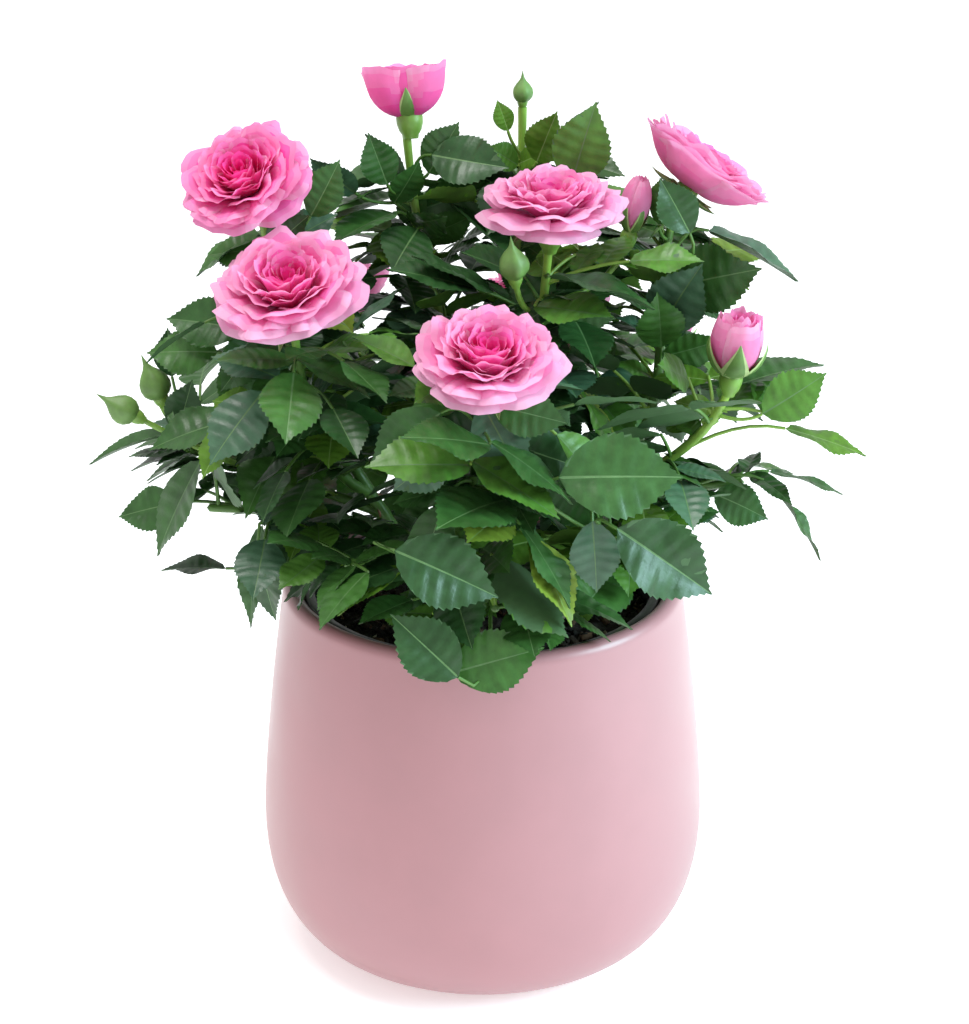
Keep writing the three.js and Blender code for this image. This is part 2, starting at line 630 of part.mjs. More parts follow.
function flowerSolid({ flower, size }) {
  const plan = FLOWERS[flower];
  const solids = [heartSolid(plan, size)];
  const addRing = (ring, outline, lift) => {
    for (let i = 0; i < ring.count; i++) {
      const turn = ring.turn + (i * 360) / ring.count;
      const petal = { ...ring, turn, length: ring.length * size, lift: plan.hip * size * lift };
      solids.push(petalSolid(petal, PETAL_THICKNESS, outline));
    }
  };
  for (const ring of plan.petals) addRing({ spread: 360 / ring.count - 2, ...ring }, PETAL_OUTLINE, 0.2);
  if (plan.sepals) addRing({ count: 5, turn: 15, ...plan.sepals }, SEPAL_OUTLINE, -0.2);
  return fuse(solids);
}

/** Moves a solid that faces +Z at the origin to a place and a way to face. */
function placed(solid, place, face) {
  const turn = new THREE.Quaternion().setFromUnitVectors(UP, vector(face).normalize());
  return solid.transform(new THREE.Matrix4().makeRotationFromQuaternion(turn).setPosition(place).toArray());
}

/** A bud on a stalk that leaves a stem at start. */
function sideBudSolid(bud, start) {
  const end = vector(bud.tip);
  const back = vector(bud.face).normalize().multiplyScalar(-start.distanceTo(end) * 0.5);
  const stalk = new THREE.QuadraticBezierCurve3(start, end.clone().add(back), end);
  const stalkRadius = () => STALK.start * 0.8;
  return fuse([limb(stalk, 0, 1, { sides: 4, steps: 2 }, stalkRadius), placed(flowerSolid(bud), end, bud.face)]);
}

// ---------------------------------------------------------------- the bush

const material = (color, roughness, metalness = 0) => new THREE.MeshStandardMaterial({ color, roughness, metalness });
const MATERIALS = {
  pot: material(0xd9a3ac, 0.55),
  liner: material(0x17181a, 0.45),
  compost: material(0x33251c, 0.95),
  cane: material(0x5d7a34, 0.6),
  leaf: material(0x24502a, 0.42),
  petal: material(0xee7fae, 0.6),
  bud: material(0x6d8f3d, 0.6),
};

const bush = new THREE.Group();
bush.add(node("pot", potSolid(), MATERIALS.pot));
bush.add(node("liner", linerSolid(), MATERIALS.liner));
bush.add(node("compost", compostSolid(), MATERIALS.compost));

for (const cane of CANES) {
  const collars = SHOOTS.filter((shoot) => shoot.cane === cane.name).map(({ name }) => {
    const { path, collar } = plans.get(name);
    return limb(path, 0, collar, { sides: BOUGH.sides, steps: 1 }, () => BOUGH.start);
  });
  const trunk = limb(canePath(cane), 0, 1, CANE, caneRadius);
  bush.add(node(`cane_${cane.name}`, fuse([trunk, ...collars]), MATERIALS.cane));
}

SHOOTS.forEach((shoot, index) => {
  const { path, collar, boughEnd, stemEnd, gap } = plans.get(shoot.name);
  if (shoot.flower) {
    bush.add(node(`bough_${shoot.name}`, limb(path, collar + gap, boughEnd, BOUGH, taper(BOUGH)), MATERIALS.cane));
  }
  bush.add(node(`foliage_${shoot.name}`, growFoliage(shoot, index), MATERIALS.leaf));
  if (shoot.flower) {
    const stalk = limb(path, stemEnd + gap, 1, STALK, taper(STALK));
    const bloom = fuse([stalk, placed(flowerSolid(shoot), vector(shoot.tip), shoot.face)]);
    bush.add(node(`flower_${shoot.name}`, bloom, shoot.flower === "green" ? MATERIALS.bud : MATERIALS.petal));
  }
});

export default bush;
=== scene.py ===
"""A miniature rose bush in a glazed pot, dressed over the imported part.

Lengths are in millimetres until a piece is made, which turns them to metres. +Z is up and the front faces -Y.
"""

import math

import bpy
import numpy as np
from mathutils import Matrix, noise
from mathutils.bvhtree import BVHTree


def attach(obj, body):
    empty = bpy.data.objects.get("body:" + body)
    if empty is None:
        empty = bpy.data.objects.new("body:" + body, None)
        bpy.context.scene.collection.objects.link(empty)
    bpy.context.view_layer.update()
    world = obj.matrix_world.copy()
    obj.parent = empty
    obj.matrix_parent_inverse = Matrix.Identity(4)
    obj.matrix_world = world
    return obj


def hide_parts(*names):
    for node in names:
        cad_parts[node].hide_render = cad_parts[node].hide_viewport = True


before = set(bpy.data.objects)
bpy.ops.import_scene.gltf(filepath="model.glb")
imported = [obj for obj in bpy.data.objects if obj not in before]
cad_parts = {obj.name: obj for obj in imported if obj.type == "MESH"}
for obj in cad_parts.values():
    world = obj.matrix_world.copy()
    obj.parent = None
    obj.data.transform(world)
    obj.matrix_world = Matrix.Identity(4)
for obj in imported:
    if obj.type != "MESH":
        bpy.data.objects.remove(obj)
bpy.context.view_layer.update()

# ---- the part's own dimensions, as its source has them

GAP = 0.3
UP = np.array((0.0, 0.0, 1.0))
POT = {
    "height": 130, "belly": 75, "belly_height": 47, "foot": 44, "rim": 67, "mouth": 60.5,
    "rim_round": 4, "floor": 8, "foot_curve": 2.3, "shoulder_curve": 1.4,
}  # fmt: skip
LINER = {"top": 127, "bottom": 8.3, "top_radius": 60, "bottom_radius": 46, "wall": 1.6, "lip": 2.2}
COMPOST = {"top": 118, "mound": 1.5, "flat": 46, "reach": 54}
CANE = {"foot": 2.6, "tip": 2.1, "flare": 1.9}
COLLAR = 7.5
BOUGH = (1.9, 1.6)
STEM = (1.7, 1.4)
STALK = (1.3, 1.5)
BOUGH_SHARE = 0.24
STALK_SHARE = 0.85
SIDE = np.array((0.6, 0.8, 0.1))
SPRAY = {
    "reach": (30, 42), "leaflet": (35, 43), "stalk": 0.75, "tip": 0.55,
    "droop": (0.7, 1.7), "low_droop": 0.45, "threes": 0.7, "turn": 137.5,
}  # fmt: skip
LEAFLET = {"width": 0.84, "widest": 0.42, "thickness": 0.9, "fold": 0.2, "sag": 0.14}
PAIRS = {
    1: [],
    3: [(0.5, 0.86)],
    5: [(0.14, 0.62), (0.58, 0.78)],
    7: [(0.1, 0.6), (0.38, 0.74), (0.68, 0.84)],
}
PAIR_ANGLE = 70
PAIR_STEP = 0.05
CROWN = {"radius": 119, "height": 88, "depth": 66, "middle": 185, "square": 2.2}
CLEAR = {"limb": 2.2, "flower": 1, "pot": 1.5, "mass": 0.4}

CANES = {
    "left": ((-21, -4), (-42, -8, 172)),
    "front": ((-4, -24), (-8, -40, 164)),
    "middle": ((2, 3), (2, 10, 194)),
    "right": ((24, -6), (44, -6, 172)),
    "back": ((5, 25), (6, 44, 168)),
}

# name: cane, fork, tip, face, flower, size, sprays
SHOOTS = {
    "upper_left": ("left", 1, (-71, -8, 260), (-0.25, -0.42, 0.87), "open", 48, 7),
    "middle_left": ("left", 0.82, (-59, -40, 234), (-0.12, -0.32, 0.94), "open", 55, 7),
    "far_left": ("left", 0.66, (-104, -2, 191), (-0.35, -0.05, 0.94), "green", 13, 7),
    "front": ("front", 1, (1, -62, 218), (0.05, -0.5, 0.86), "open", 48, 6),
    "centre": ("middle", 0.8, (21, -12, 251), (0.05, -0.18, 0.98), "open", 50, 6),
    "top": ("middle", 0.9, (-25, 30, 276), (-0.08, 0, 1), "half", 24, 7),
    "crest": ("middle", 1, (13, 36, 281), (0, 0, 1), "green", 10, 6),
    "upper_right": ("right", 1, (66, 13, 259), (0.58, 0.1, 0.8), "open", 49, 5),
    "far_right": ("right", 0.8, (79, -19, 206), (0.12, -0.05, 0.99), "bud", 22, 7),
    "back_left": ("back", 0.86, (-50, 66, 196), (-0.4, 0.55, 0.73), "open", 46, 5),
    "back": ("back", 1, (22, 80, 194), (0.1, 0.6, 0.79), "open", 48, 6),
    "back_right": ("back", 0.72, (60, 66, 188), (0.5, 0.5, 0.7), "bud", 21, 5),
    "low_left": ("left", 0.46, (-88, -24, 164), (-0.9, -0.2, 0.1), None, 0, 6),
    "low_front_left": ("front", 0.76, (-42, -62, 160), (-0.6, -0.7, 0.1), None, 0, 5),
    "low_front": ("front", 0.5, (4, -64, 146), (0.1, -0.9, 0), None, 0, 5),
    "low_front_right": ("right", 0.44, (46, -52, 160), (0.5, -0.8, 0.1), None, 0, 5),
    "low_right": ("right", 0.62, (86, 4, 162), (0.95, 0, 0.1), None, 0, 5),
    "low_back_left": ("back", 0.56, (-56, 58, 158), (-0.6, 0.7, 0.1), None, 0, 5),
    "low_back_right": ("back", 0.44, (58, 56, 156), (0.6, 0.7, 0.1), None, 0, 5),
}

# The source's sprays that reach for a place of their own and find room there, by shoot: share of its leafy
# stem, tip of the end leaflet, its size, leaflets, droop, the green as numbered in GREENS, and for slender
# leaflets how wide they are beside the others. Those of width 0 keep their room but aren't drawn: finer
# ones below stand in for them.
REACHES = {
    "crest": [
        (0.9, (38, 25, 285), 27, 1, -0.9, 2),
        (0.45, (-10, 6, 244), 38, 3, 0.5, 0),
    ],
    "top": [(0.85, (-38, 16, 277), 26, 1, -0.6, 1)],
    "upper_right": [
        (0.7, (103, 15, 226), 36, 3, 0.7, 6),
        (0.45, (40, -22, 224), 38, 3, 0.7, 1),
    ],
    "far_right": [(0.75, (112, 0, 205), 32, 3, 0.2, 1)],
    "low_right": [
        (0.9, (121, 12, 155), 28, 3, 0.1, 1, 0.5),
        (0.6, (113, -2, 136), 30, 1, 0.9, 1, 0.4),
    ],
    "low_front_right": [(0.9, (72, -62, 153), 36, 3, 0.5, 2, 0)],
    "low_front": [
        (0.98, (22, -78, 137), 34, 1, 0.8, 3),
        (0.85, (-8, -79, 124), 34, 1, 1.2, 2, 0),
    ],
    "far_left": [(0.5, (-129, -6, 174), 30, 3, 0.4, 1, 0.55)],
    "low_left": [
        (0.95, (-104, -32, 150), 34, 3, 1.1, 1),
        (0.45, (-76, -36, 127), 34, 1, 1.6, 1, 0.5),
    ],
}

# shoot, share of its leafy stem, tip, face, height
SIDE_BUDS = [
    ("far_left", 0.5, (-111, -20, 194), (-0.75, -0.1, 0.5), 12),
    ("centre", 0.75, (47, 6, 246), (0.2, 0, 1), 20),
    ("centre", 0.7, (10, -30, 243), (-0.1, -0.2, 1), 12),
    ("front", 0.6, (-16, -52, 203), (-0.2, 0, 1), 12),
]

# ---- small helpers


def mix(a, b, t):
    return a + (b - a) * t


def unit(v):
    v = np.asarray(v, float)
    return v / math.sqrt(v @ v)


def cross(a, b):
    return np.array((a[1] * b[2] - a[2] * b[1], a[2] * b[0] - a[0] * b[2], a[0] * b[1] - a[1] * b[0]))


def turned_about(v, axis, angle):
    q, w = axis * math.sin(angle / 2), math.cos(angle / 2)
    t = 2 * cross(q, v)
    return v + w * t + cross(q, t)


# The first seed of each kind of growth, and the step from one shoot's or cane's to the next.
SEEDS = {
    "foliage": (7001, 977), "fill": (40013, 1543), "shoot": (90001, 619), "cane": (5003, 331),
    "crumbs": (2207, 0),
}  # fmt: skip


def dice(kind, index=0):
    """A repeatable random generator: each call gives a number from low to high."""
    first, step = SEEDS[kind]
    state = first + index * step

    def roll(low=0.0, high=1.0):
        nonlocal state
        state = (state * 1664525 + 1013904223) % 4294967296
        return low + (high - low) * state / 4294967296

    return roll


class Curve:
    """A Bezier curve of 3 or 4 points that can be walked by its length."""

    def __init__(self, *points):
        self.points = [np.asarray(p, float) for p in points]
        steps = self.point(np.linspace(0, 1, 201))
        self.lengths = np.concatenate([[0], np.cumsum(np.linalg.norm(np.diff(steps, axis=0), axis=1))])
        self.length = self.lengths[-1]

    def point(self, t):
        t = np.asarray(t, float)[..., None]
        k, p = 1 - t, self.points
        if len(p) == 3:
            return k * k * p[0] + 2 * k * t * p[1] + t * t * p[2]
        return k**3 * p[0] + 3 * k * k * t * p[1] + 3 * k * t * t * p[2] + t**3 * p[3]

    def tangent(self, t):
        return unit(self.point(min(t + 1e-4, 1)) - self.point(max(t - 1e-4, 0)))

    def share(self, u):
        return np.interp(np.asarray(u) * self.length, self.lengths, np.linspace(0, 1, 201))

    def at(self, u):
        return self.point(self.share(u))

    def heading(self, u):
        return self.tangent(float(self.share(u)))


# ---- the plan of the bush


def pot_radius(height):
    """The pot's outer radius at heights under its rounded rim."""
    height = np.asarray(height, float)
    low = 1 - np.clip(height, 0, POT["belly_height"]) / POT["belly_height"]
    bulge = (1 - low ** POT["foot_curve"]) ** (1 / POT["foot_curve"])
    under = POT["foot"] + (POT["belly"] - POT["foot"]) * bulge
    shoulder = POT["height"] - POT["rim_round"]
    high = np.clip((height - POT["belly_height"]) / (shoulder - POT["belly_height"]), 0, 1)
    over = POT["belly"] - (POT["belly"] - POT["rim"]) * high ** POT["shoulder_curve"]
    return np.where(height < POT["belly_height"], under, over)


def cane_path(name):
    (x, y), top = CANES[name]
    foot, top = np.array((x, y, COMPOST["top"] + GAP), float), np.array(top, float)
    rise = (top[2] - foot[2]) * 0.4
    lean = unit((top[0] - foot[0], top[1] - foot[1], rise * 2))
    return Curve(foot, foot + UP * rise, top - lean * rise, top)


def shoot_path(name):
    cane, fork, tip, face = SHOOTS[name][:4]
    along = cane_path(cane)
    start, tip = along.at(fork), np.array(tip, float)
    length = np.linalg.norm(tip - start)
    outward = unit((tip[0] - start[0], tip[1] - start[1], 0.0))
    leave = unit(along.heading(fork) * 0.6 + outward * 0.75)
    arrive = unit(face)
    return Curve(start, start + leave * length * 0.36, tip - arrive * length * 0.3, tip)


def lay_out(name):
    """A shoot's path and the shares of it where its bough and its leafy stem end."""
    path = shoot_path(name)
    collar, blind = COLLAR / path.length, SHOOTS[name][4] is None
    bough_end = collar if blind else max(BOUGH_SHARE, collar * 1.6)
    stem_end, gap = 1 if blind else STALK_SHARE, GAP / path.length
    return {"path": path, "bough_end": bough_end, "stem_end": stem_end, "gap": gap, "blind": blind}


PLANS = {name: lay_out(name) for name in SHOOTS}


def on_stem(plan, share):
    """The share of a shoot's path at a share of its leafy stem."""
    return mix(plan["bough_end"], plan["stem_end"], share)


def samples(path, start, end, every=4):
    """Points of a path from start to end, about every so many millimetres."""
    count = max(2, math.ceil((end - start) * path.length / every))
    return path.at(mix(start, end, np.arange(count + 1) / count))


SITES = [samples(p["path"], p["bough_end"], p["stem_end"], 6) for p in PLANS.values()]
SITE_STARTS = np.cumsum([0] + [len(s) for s in SITES])[:-1]
SITE_POINTS = np.vstack(SITES)
LIMBS = [(samples(cane_path(name), 0, 1), CANE["foot"]) for name in CANES]
LIMBS += [(samples(p["path"], 0, p["bough_end"]), BOUGH[0]) for p in PLANS.values()]
LIMBS += [(samples(p["path"], p["stem_end"], 1), STALK[1]) for p in PLANS.values() if not p["blind"]]
LIMB_POINTS = np.vstack([points for points, _ in LIMBS])
LIMB_RADII = np.concatenate([np.full(len(points), radius) for points, radius in LIMBS])


def flower_rooms():
    """Each flower's space: a squashed ball round its petals."""
    rooms = []
    for _, _, tip, face, flower, size, _ in SHOOTS.values():
        if flower:
            depth, radius = (size * 0.24, size * 0.52) if flower == "open" else (size * 0.62, size * 0.6)
            face = unit(face)
            rooms.append((np.array(tip) + face * depth * 0.9, face, depth, radius))
    return rooms


ROOMS = flower_rooms()


def far_apart(points, others):
    return np.sqrt(((points[:, None] - others[None]) ** 2).sum(2))


def in_open(points, crown=True, limb=CLEAR["limb"], mouth=0):
    """Which points are clear of limbs, flowers and pot, and inside the crown where that is asked for.

    Over the compost they may go below the rim as far out as mouth.
    """
    fits = np.ones(len(points), bool)
    out = np.hypot(points[:, 0], points[:, 1])
    if crown:
        rise = points[:, 2] - CROWN["middle"]
        height = np.where(rise > 0, CROWN["height"], CROWN["depth"])
        fits &= (out / CROWN["radius"]) ** CROWN["square"] + np.abs(rise / height) ** CROWN["square"] <= 1
    wall = pot_radius(np.minimum(points[:, 2], POT["height"] - POT["rim_round"]))
    over_compost = (out < mouth) & (points[:, 2] > COMPOST["top"] + 1)
    fits &= over_compost | ~((points[:, 2] < POT["height"] + CLEAR["pot"]) & (out < wall + CLEAR["pot"]))
    for middle, face, depth, radius in ROOMS:
        offset = points - middle
        along = offset @ face
        aside = np.maximum(0, (offset**2).sum(1) - along**2)
        fits &= (along / (depth + CLEAR["flower"])) ** 2 + aside / (radius + CLEAR["flower"]) ** 2 >= 1
    if fits.all():
        fits &= ~(far_apart(points, LIMB_POINTS) < LIMB_RADII + limb).any(1)
    return fits


def has_room(points, mass, crown=True):
    """True if all points lie in a mass's own space: in the open, and nearer its stem than any other."""
    if not in_open(points, crown).all():
        return False
    apart = np.minimum.reduceat(far_apart(points, SITE_POINTS), SITE_STARTS, axis=1)
    own = apart[:, mass].copy()
    apart[:, mass] = np.inf
    return bool((apart > own[:, None] + CLEAR["mass"]).all())


# ---- sprays and leaflets, by the source's rule


def leaflet_point(leaflet, along, across):
    """Points of a leaflet's folded and drooping diamond, at shares of its length and half width."""
    foot, ahead, side, normal, length = leaflet
    along, across = np.asarray(along, float), np.asarray(across, float)
    widest = LEAFLET["widest"]
    taper = np.where(along < widest, along / widest, (1 - along) / (1 - widest))
    half = length * LEAFLET["width"] / 2 * taper
    lift = half * np.abs(across) * LEAFLET["fold"] - length * LEAFLET["sag"] * along**2
    return foot + np.outer(length * along, ahead) + np.outer(half * across, side) + np.outer(lift, normal)


def on_stalk(stalk, at):
    low, high = (0, 0.5) if at < 0.5 else (0.5, 1)
    return mix(stalk.at(low), stalk.at(high), (at - low) * 2)


def spray(start, elbow, end, count, size, roll=0.0, facing=None):
    """A leaf stalk from start over elbow to end, with count leaflets; the one at its end measures size."""
    stalk = Curve(start, elbow, end)
    first = stalk.tangent(0)
    level = unit(cross(first, UP))
    leaflets = []

    def add(at, angle, length):
        ahead = stalk.tangent(at)
        side = turned_about(level, ahead, roll) if facing is None else unit(cross(ahead, facing))
        normal = cross(side, ahead)
        angle = math.radians(angle)
        ahead, side = turned_about(ahead, normal, angle), turned_about(side, normal, angle)
        leaflets.append((on_stalk(stalk, at), ahead, side, normal, length))

    add(1, 0, size)
    for at, scale in PAIRS[count]:
        add(at, PAIR_ANGLE, size * scale)
        add(at + PAIR_STEP, -PAIR_ANGLE, size * scale)
    return {"stalk": stalk, "rolled": turned_about(level, first, roll), "leaflets": leaflets}


def free_spray(start, leave, reach, droop, count, size, roll):
    """A spray that leaves its stem one way and droops."""
    elbow = start + unit(leave) * reach / 2
    onward = unit(unit(leave) - UP * droop)
    return spray(start, elbow, elbow + onward * reach / 2, count, size, roll)


def aimed_spray(start, tip, size, count, droop, facing=None):
    """A spray whose end leaflet reaches a given tip; droop is a number, or the end leaflet's own heading."""
    tip = np.array(tip, float)
    ahead = unit(droop) if isinstance(droop, tuple) else unit(unit(tip - start) - UP * droop * 0.6)
    level = unit(cross(ahead, UP if facing is None else facing))
    end = tip - ahead * size + cross(level, ahead) * size * LEAFLET["sag"]
    elbow = end - ahead * np.linalg.norm(end - start) * 0.45
    return spray(start, elbow, end, count, size, 0.0, facing)


PROBES = [(along, across) for along in (0.2, 0.42, 0.6, 0.8, 1) for across in (-1, -0.5, 0, 0.5, 1)]
PROBES_ALONG, PROBES_ACROSS = (np.array(values) for values in zip(*PROBES))


def blade_tree(leaflet):
    """A leaflet as the source's thin diamond."""
    foot, ahead, side, normal, length = leaflet
    root = (foot - ahead * SPRAY["tip"] / 2, ahead, side, normal, length)
    widest = LEAFLET["widest"]
    rim = leaflet_point(root, (0, widest, 1, widest), (0, 1, 0, -1))
    heart = leaflet_point(root, (widest,), (0,))[0]
    half = normal * LEAFLET["thickness"] / 2
    points = [*rim, heart + half, heart - half]
    faces = [f for i in range(4) for f in ((4, i, (i + 1) % 4), (5, (i + 1) % 4, i))]
    return BVHTree.FromPolygons(points, faces)


def rings_along(curve, start, end, steps, side=SIDE):
    """Centres and two crossing directions at even steps along a curve, rolled as little as can be."""
    rings, across = [], side
    for u in mix(start, end, np.arange(steps + 1) / steps):
        heading = curve.heading(u)
        across = unit(across - heading * (across @ heading))
        rings.append((curve.at(u), across, cross(across, heading)))
    return rings


def limb_tree(curve, start, end, sides, steps, radius_at, side=SIDE):
    """A limb as the source's coarse prism."""
    points, faces = [], []
    for i, (middle, across, other) in enumerate(rings_along(curve, start, end, steps, side)):
        for k in range(sides):
            angle = 2 * math.pi * k / sides
            out = across * math.sin(angle) + other * math.cos(angle)
            points.append(middle + out * radius_at(i / steps))
    for i in range(steps):
        for k in range(sides):
            a, b = i * sides + k, i * sides + (k + 1) % sides
            faces.append((a, b, b + sides, a + sides))
    faces += [tuple(range(sides)), tuple(range(steps * sides, (steps + 1) * sides))]
    return BVHTree.FromPolygons(points, faces)


def stalk_tree(one, start):
    def radius_at(share):
        return mix(SPRAY["stalk"], SPRAY["tip"], mix(start, 1, share))

    return limb_tree(one["stalk"], start, 1, 3, 2, radius_at, one["rolled"])


# How far round and at what scale a spray that doesn't fit is tried again.
SWINGS = [
    (0, 1), (40, 1), (-40, 1), (80, 1), (-80, 1), (120, 1), (-120, 1), (180, 1),
    (0, 0.7), (60, 0.7), (-60, 0.7), (120, 0.7), (-120, 0.7), (180, 0.7),
    (0, 0.5), (90, 0.5), (-90, 0.5), (180, 0.5),
]  # fmt: skip


def bud_stalk(bud):
    shoot, at, tip, face, _ = bud
    start, end = PLANS[shoot]["path"].at(on_stem(PLANS[shoot], at)), np.array(tip, float)
    back = unit(face) * np.linalg.norm(end - start) * 0.5
    return Curve(start, end - back, end)


def grow_foliage(name, index):
    """The sprays of one shoot, each where the source has it."""
    plan = PLANS[name]
    path = plan["path"]
    roll_dice = dice("foliage", index)
    stem_start = plan["bough_end"] + plan["gap"]
    trees = [limb_tree(path, stem_start, plan["stem_end"], 3, 5, lambda s: mix(*STEM, s))]
    grown = []

    def is_free(tree):
        return not any(tree.overlap(other) for other in trees)

    def trim(tried, crown):
        kept = [
            one for one in tried["leaflets"]
            if has_room(leaflet_point(one, PROBES_ALONG, PROBES_ACROSS), index, crown)
            and is_free(blade_tree(one))
        ]  # fmt: skip
        return {**tried, "leaflets": kept}

    def keep(best):
        trees.append(stalk_tree(best, 0))
        trees.extend(blade_tree(one) for one in best["leaflets"])
        grown.append(best)

    for bud in SIDE_BUDS:
        if bud[0] == name:
            trees.append(limb_tree(bud_stalk(bud), 0, 1, 4, 2, lambda s: STALK[0] * 0.8))
            trees.append(heart_tree(bud))
    for at, tip, size, count, droop, tone, *wide in REACHES.get(name, ()):
        best = trim(aimed_spray(path.at(on_stem(plan, at)), tip, size, count, droop), False)
        if best["leaflets"]:
            keep({**best, "tone": tone, "aimed": True, "wide": wide[0] if wide else 1})
    turn, leaves = roll_dice(0, 360), SHOOTS[name][6]
    for i in range(leaves):
        share = mix(0.06, 0.95, i / (leaves - 1))
        start, tangent = path.at(on_stem(plan, share)), path.heading(on_stem(plan, share))
        reach, size = roll_dice(*SPRAY["reach"]), roll_dice(*SPRAY["leaflet"])
        lower = SPRAY["low_droop"] if plan["blind"] else 1
        droop = roll_dice(*SPRAY["droop"]) * mix(1.25, 0.75, share) * lower
        roll = math.radians(roll_dice(-26, 26))
        count = 3 if roll_dice() < SPRAY["threes"] else 5
        turn += SPRAY["turn"]
        best = {"leaflets": []}
        for swing, scale in SWINGS:
            leave = leaving(turn + swing, tangent)
            if leave is None:
                continue
            free = free_spray(start, leave, reach * scale, droop, count, size * mix(1, scale, 0.5), roll)
            probes = free["stalk"].point((0.35, 0.7, 1))
            if not has_room(probes, index, False) or not is_free(stalk_tree(free, 0.15)):
                continue
            tried = trim(free, True)
            if len(tried["leaflets"]) > len(best["leaflets"]):
                best = tried
            if len(best["leaflets"]) == count:
                break
        if best["leaflets"]:
            keep(best)
    return grown


def leaving(turn, tangent):
    """The way a leaf stalk leaves its stem at a turn round it, or None where the stem points that way."""
    angle = math.radians(turn)
    outward = np.array((math.cos(angle), math.sin(angle), 0.0))
    outward = outward - tangent * (outward @ tangent)
    if math.sqrt(outward @ outward) < 0.35:
        return None
    return unit(outward) + tangent * 0.45 + UP * 0.25


def heart_tree(bud):
    """A side bud's body as the source's coarse lathe."""
    _, _, tip, face, size = bud
    profile = [(0, -0.2), (0.2, -0.1), (0.2, 0.1), (0.27, 0.55), (0, 1.0)]
    points, faces = lathe([(r * size, h * size) for r, h in profile], 6)
    return BVHTree.FromPolygons(list(faced(points, tip, face)), [tuple(f) for f in faces])


# ---- finer sprays that fill the crown


class Crowd:
    """Leaves that stand, for asking whether one more would cross any of them."""

    ROOM = 6000

    def __init__(self):
        self.low, self.high, self.trees = np.zeros((self.ROOM, 3)), np.zeros((self.ROOM, 3)), []

    def clear_of(self, points, tree):
        low, high = points.min(0), points.max(0)
        count = len(self.trees)
        near = ((self.low[:count] < high) & (self.high[:count] > low)).all(1)
        return not any(tree.overlap(self.trees[i]) for i in np.flatnonzero(near))

    def add(self, points, tree):
        i = len(self.trees)
        self.low[i], self.high[i] = points.min(0), points.max(0)
        self.trees.append(tree)


RIM_ALONG = np.array((0, 0.12, 0.42, 0.75, 1, 0.75, 0.42, 0.12))
RIM_ACROSS = np.array((0, 1.5, 0.9, 1.0, 0, -1.0, -0.9, -1.5))


def leaf_patch(leaflet):
    """A leaflet's outline and heart, as points and a tree."""
    rim = leaflet_point(leaflet, RIM_ALONG, RIM_ACROSS)
    middle = leaflet_point(leaflet, (0.2, 0.45, 0.75), (0, 0, 0))
    points = np.vstack([rim, middle])
    faces = [
        (0, 1, 8), (1, 2, 9, 8), (2, 3, 10, 9), (3, 4, 10),
        (4, 5, 10), (5, 6, 9, 10), (6, 7, 8, 9), (7, 0, 8),
    ]  # fmt: skip
    return points, BVHTree.FromPolygons(list(points), faces)


def stand(crowd, sprays):
    for one in [one for one in sprays if one.get("wide", 1)]:
        for leaflet in one["leaflets"]:
            crowd.add(*leaf_patch(leaflet))


# Gaps where the light comes through from behind: place, half width and half height. Each runs straight back
# and a little down.
GAPS = [
    ((92, 0, 181), 24, 10.5), ((80, 0, 174), 12, 8), ((62, 0, 177), 8, 7), ((98, 0, 140), 30, 10),
    ((80, 0, 146), 13, 11), ((92, 0, 150), 9, 8), ((100, 0, 223), 12, 8), ((57, 0, 126), 10, 8),
    ((-84, 0, 146), 9, 17), ((-96, 0, 143), 12, 7), ((-80, 0, 132), 10, 7), ((68, 0, 132), 8, 6),
    ((-101, 0, 240), 15, 13), ((-106, 0, 222), 7, 7),
]  # fmt: skip
GAP_FALL = 0.39


def in_gap(leaflet):
    """True if a leaflet's middle would close a gap."""
    x, y, z = leaflet_point(leaflet, (0.5,), (0,))[0]
    return any(
        ((x - gap_x) / wide) ** 2 + ((z + (y - gap_y) * GAP_FALL - gap_z) / high) ** 2 < 1
        for (gap_x, gap_y, gap_z), wide, high in GAPS
    )


def fill_spray(one, crowd, aimed, least, limb):
    """A spray with only the leaflets that fit in the open and cross no other leaf, or None if too few do.

    An aimed one may leave the crown's outline, close a gap, or lie over the compost.
    """
    kept, patches, mouth = [], [], COMPOST["reach"] if aimed else 0
    for leaflet in one["leaflets"]:
        if not aimed and in_gap(leaflet):
            continue
        points, tree = leaf_patch(leaflet)
        if in_open(points[1:], not aimed, limb, mouth).all() and crowd.clear_of(points, tree):
            kept.append(leaflet)
            patches.append((points, tree))
    if len(kept) < least:
        return None
    for patch in patches:
        crowd.add(*patch)
    return {**one, "leaflets": kept}


FILL = {
    "sprays": 15, "tries": 7, "counts": (3, 5, 5, 7), "least": 2, "reach": (16, 32), "leaflet": (20, 31),
    "droop": (0.1, 1.5), "roll": (-32, 32), "stalk_limb": 0.5, "aimed_limb": 0.2,
}  # fmt: skip

FRONT, LEFT, RIGHT = np.array(((0, -0.85, 0.5), (-0.6, -0.6, 0.5), (0.5, -0.65, 0.55)))

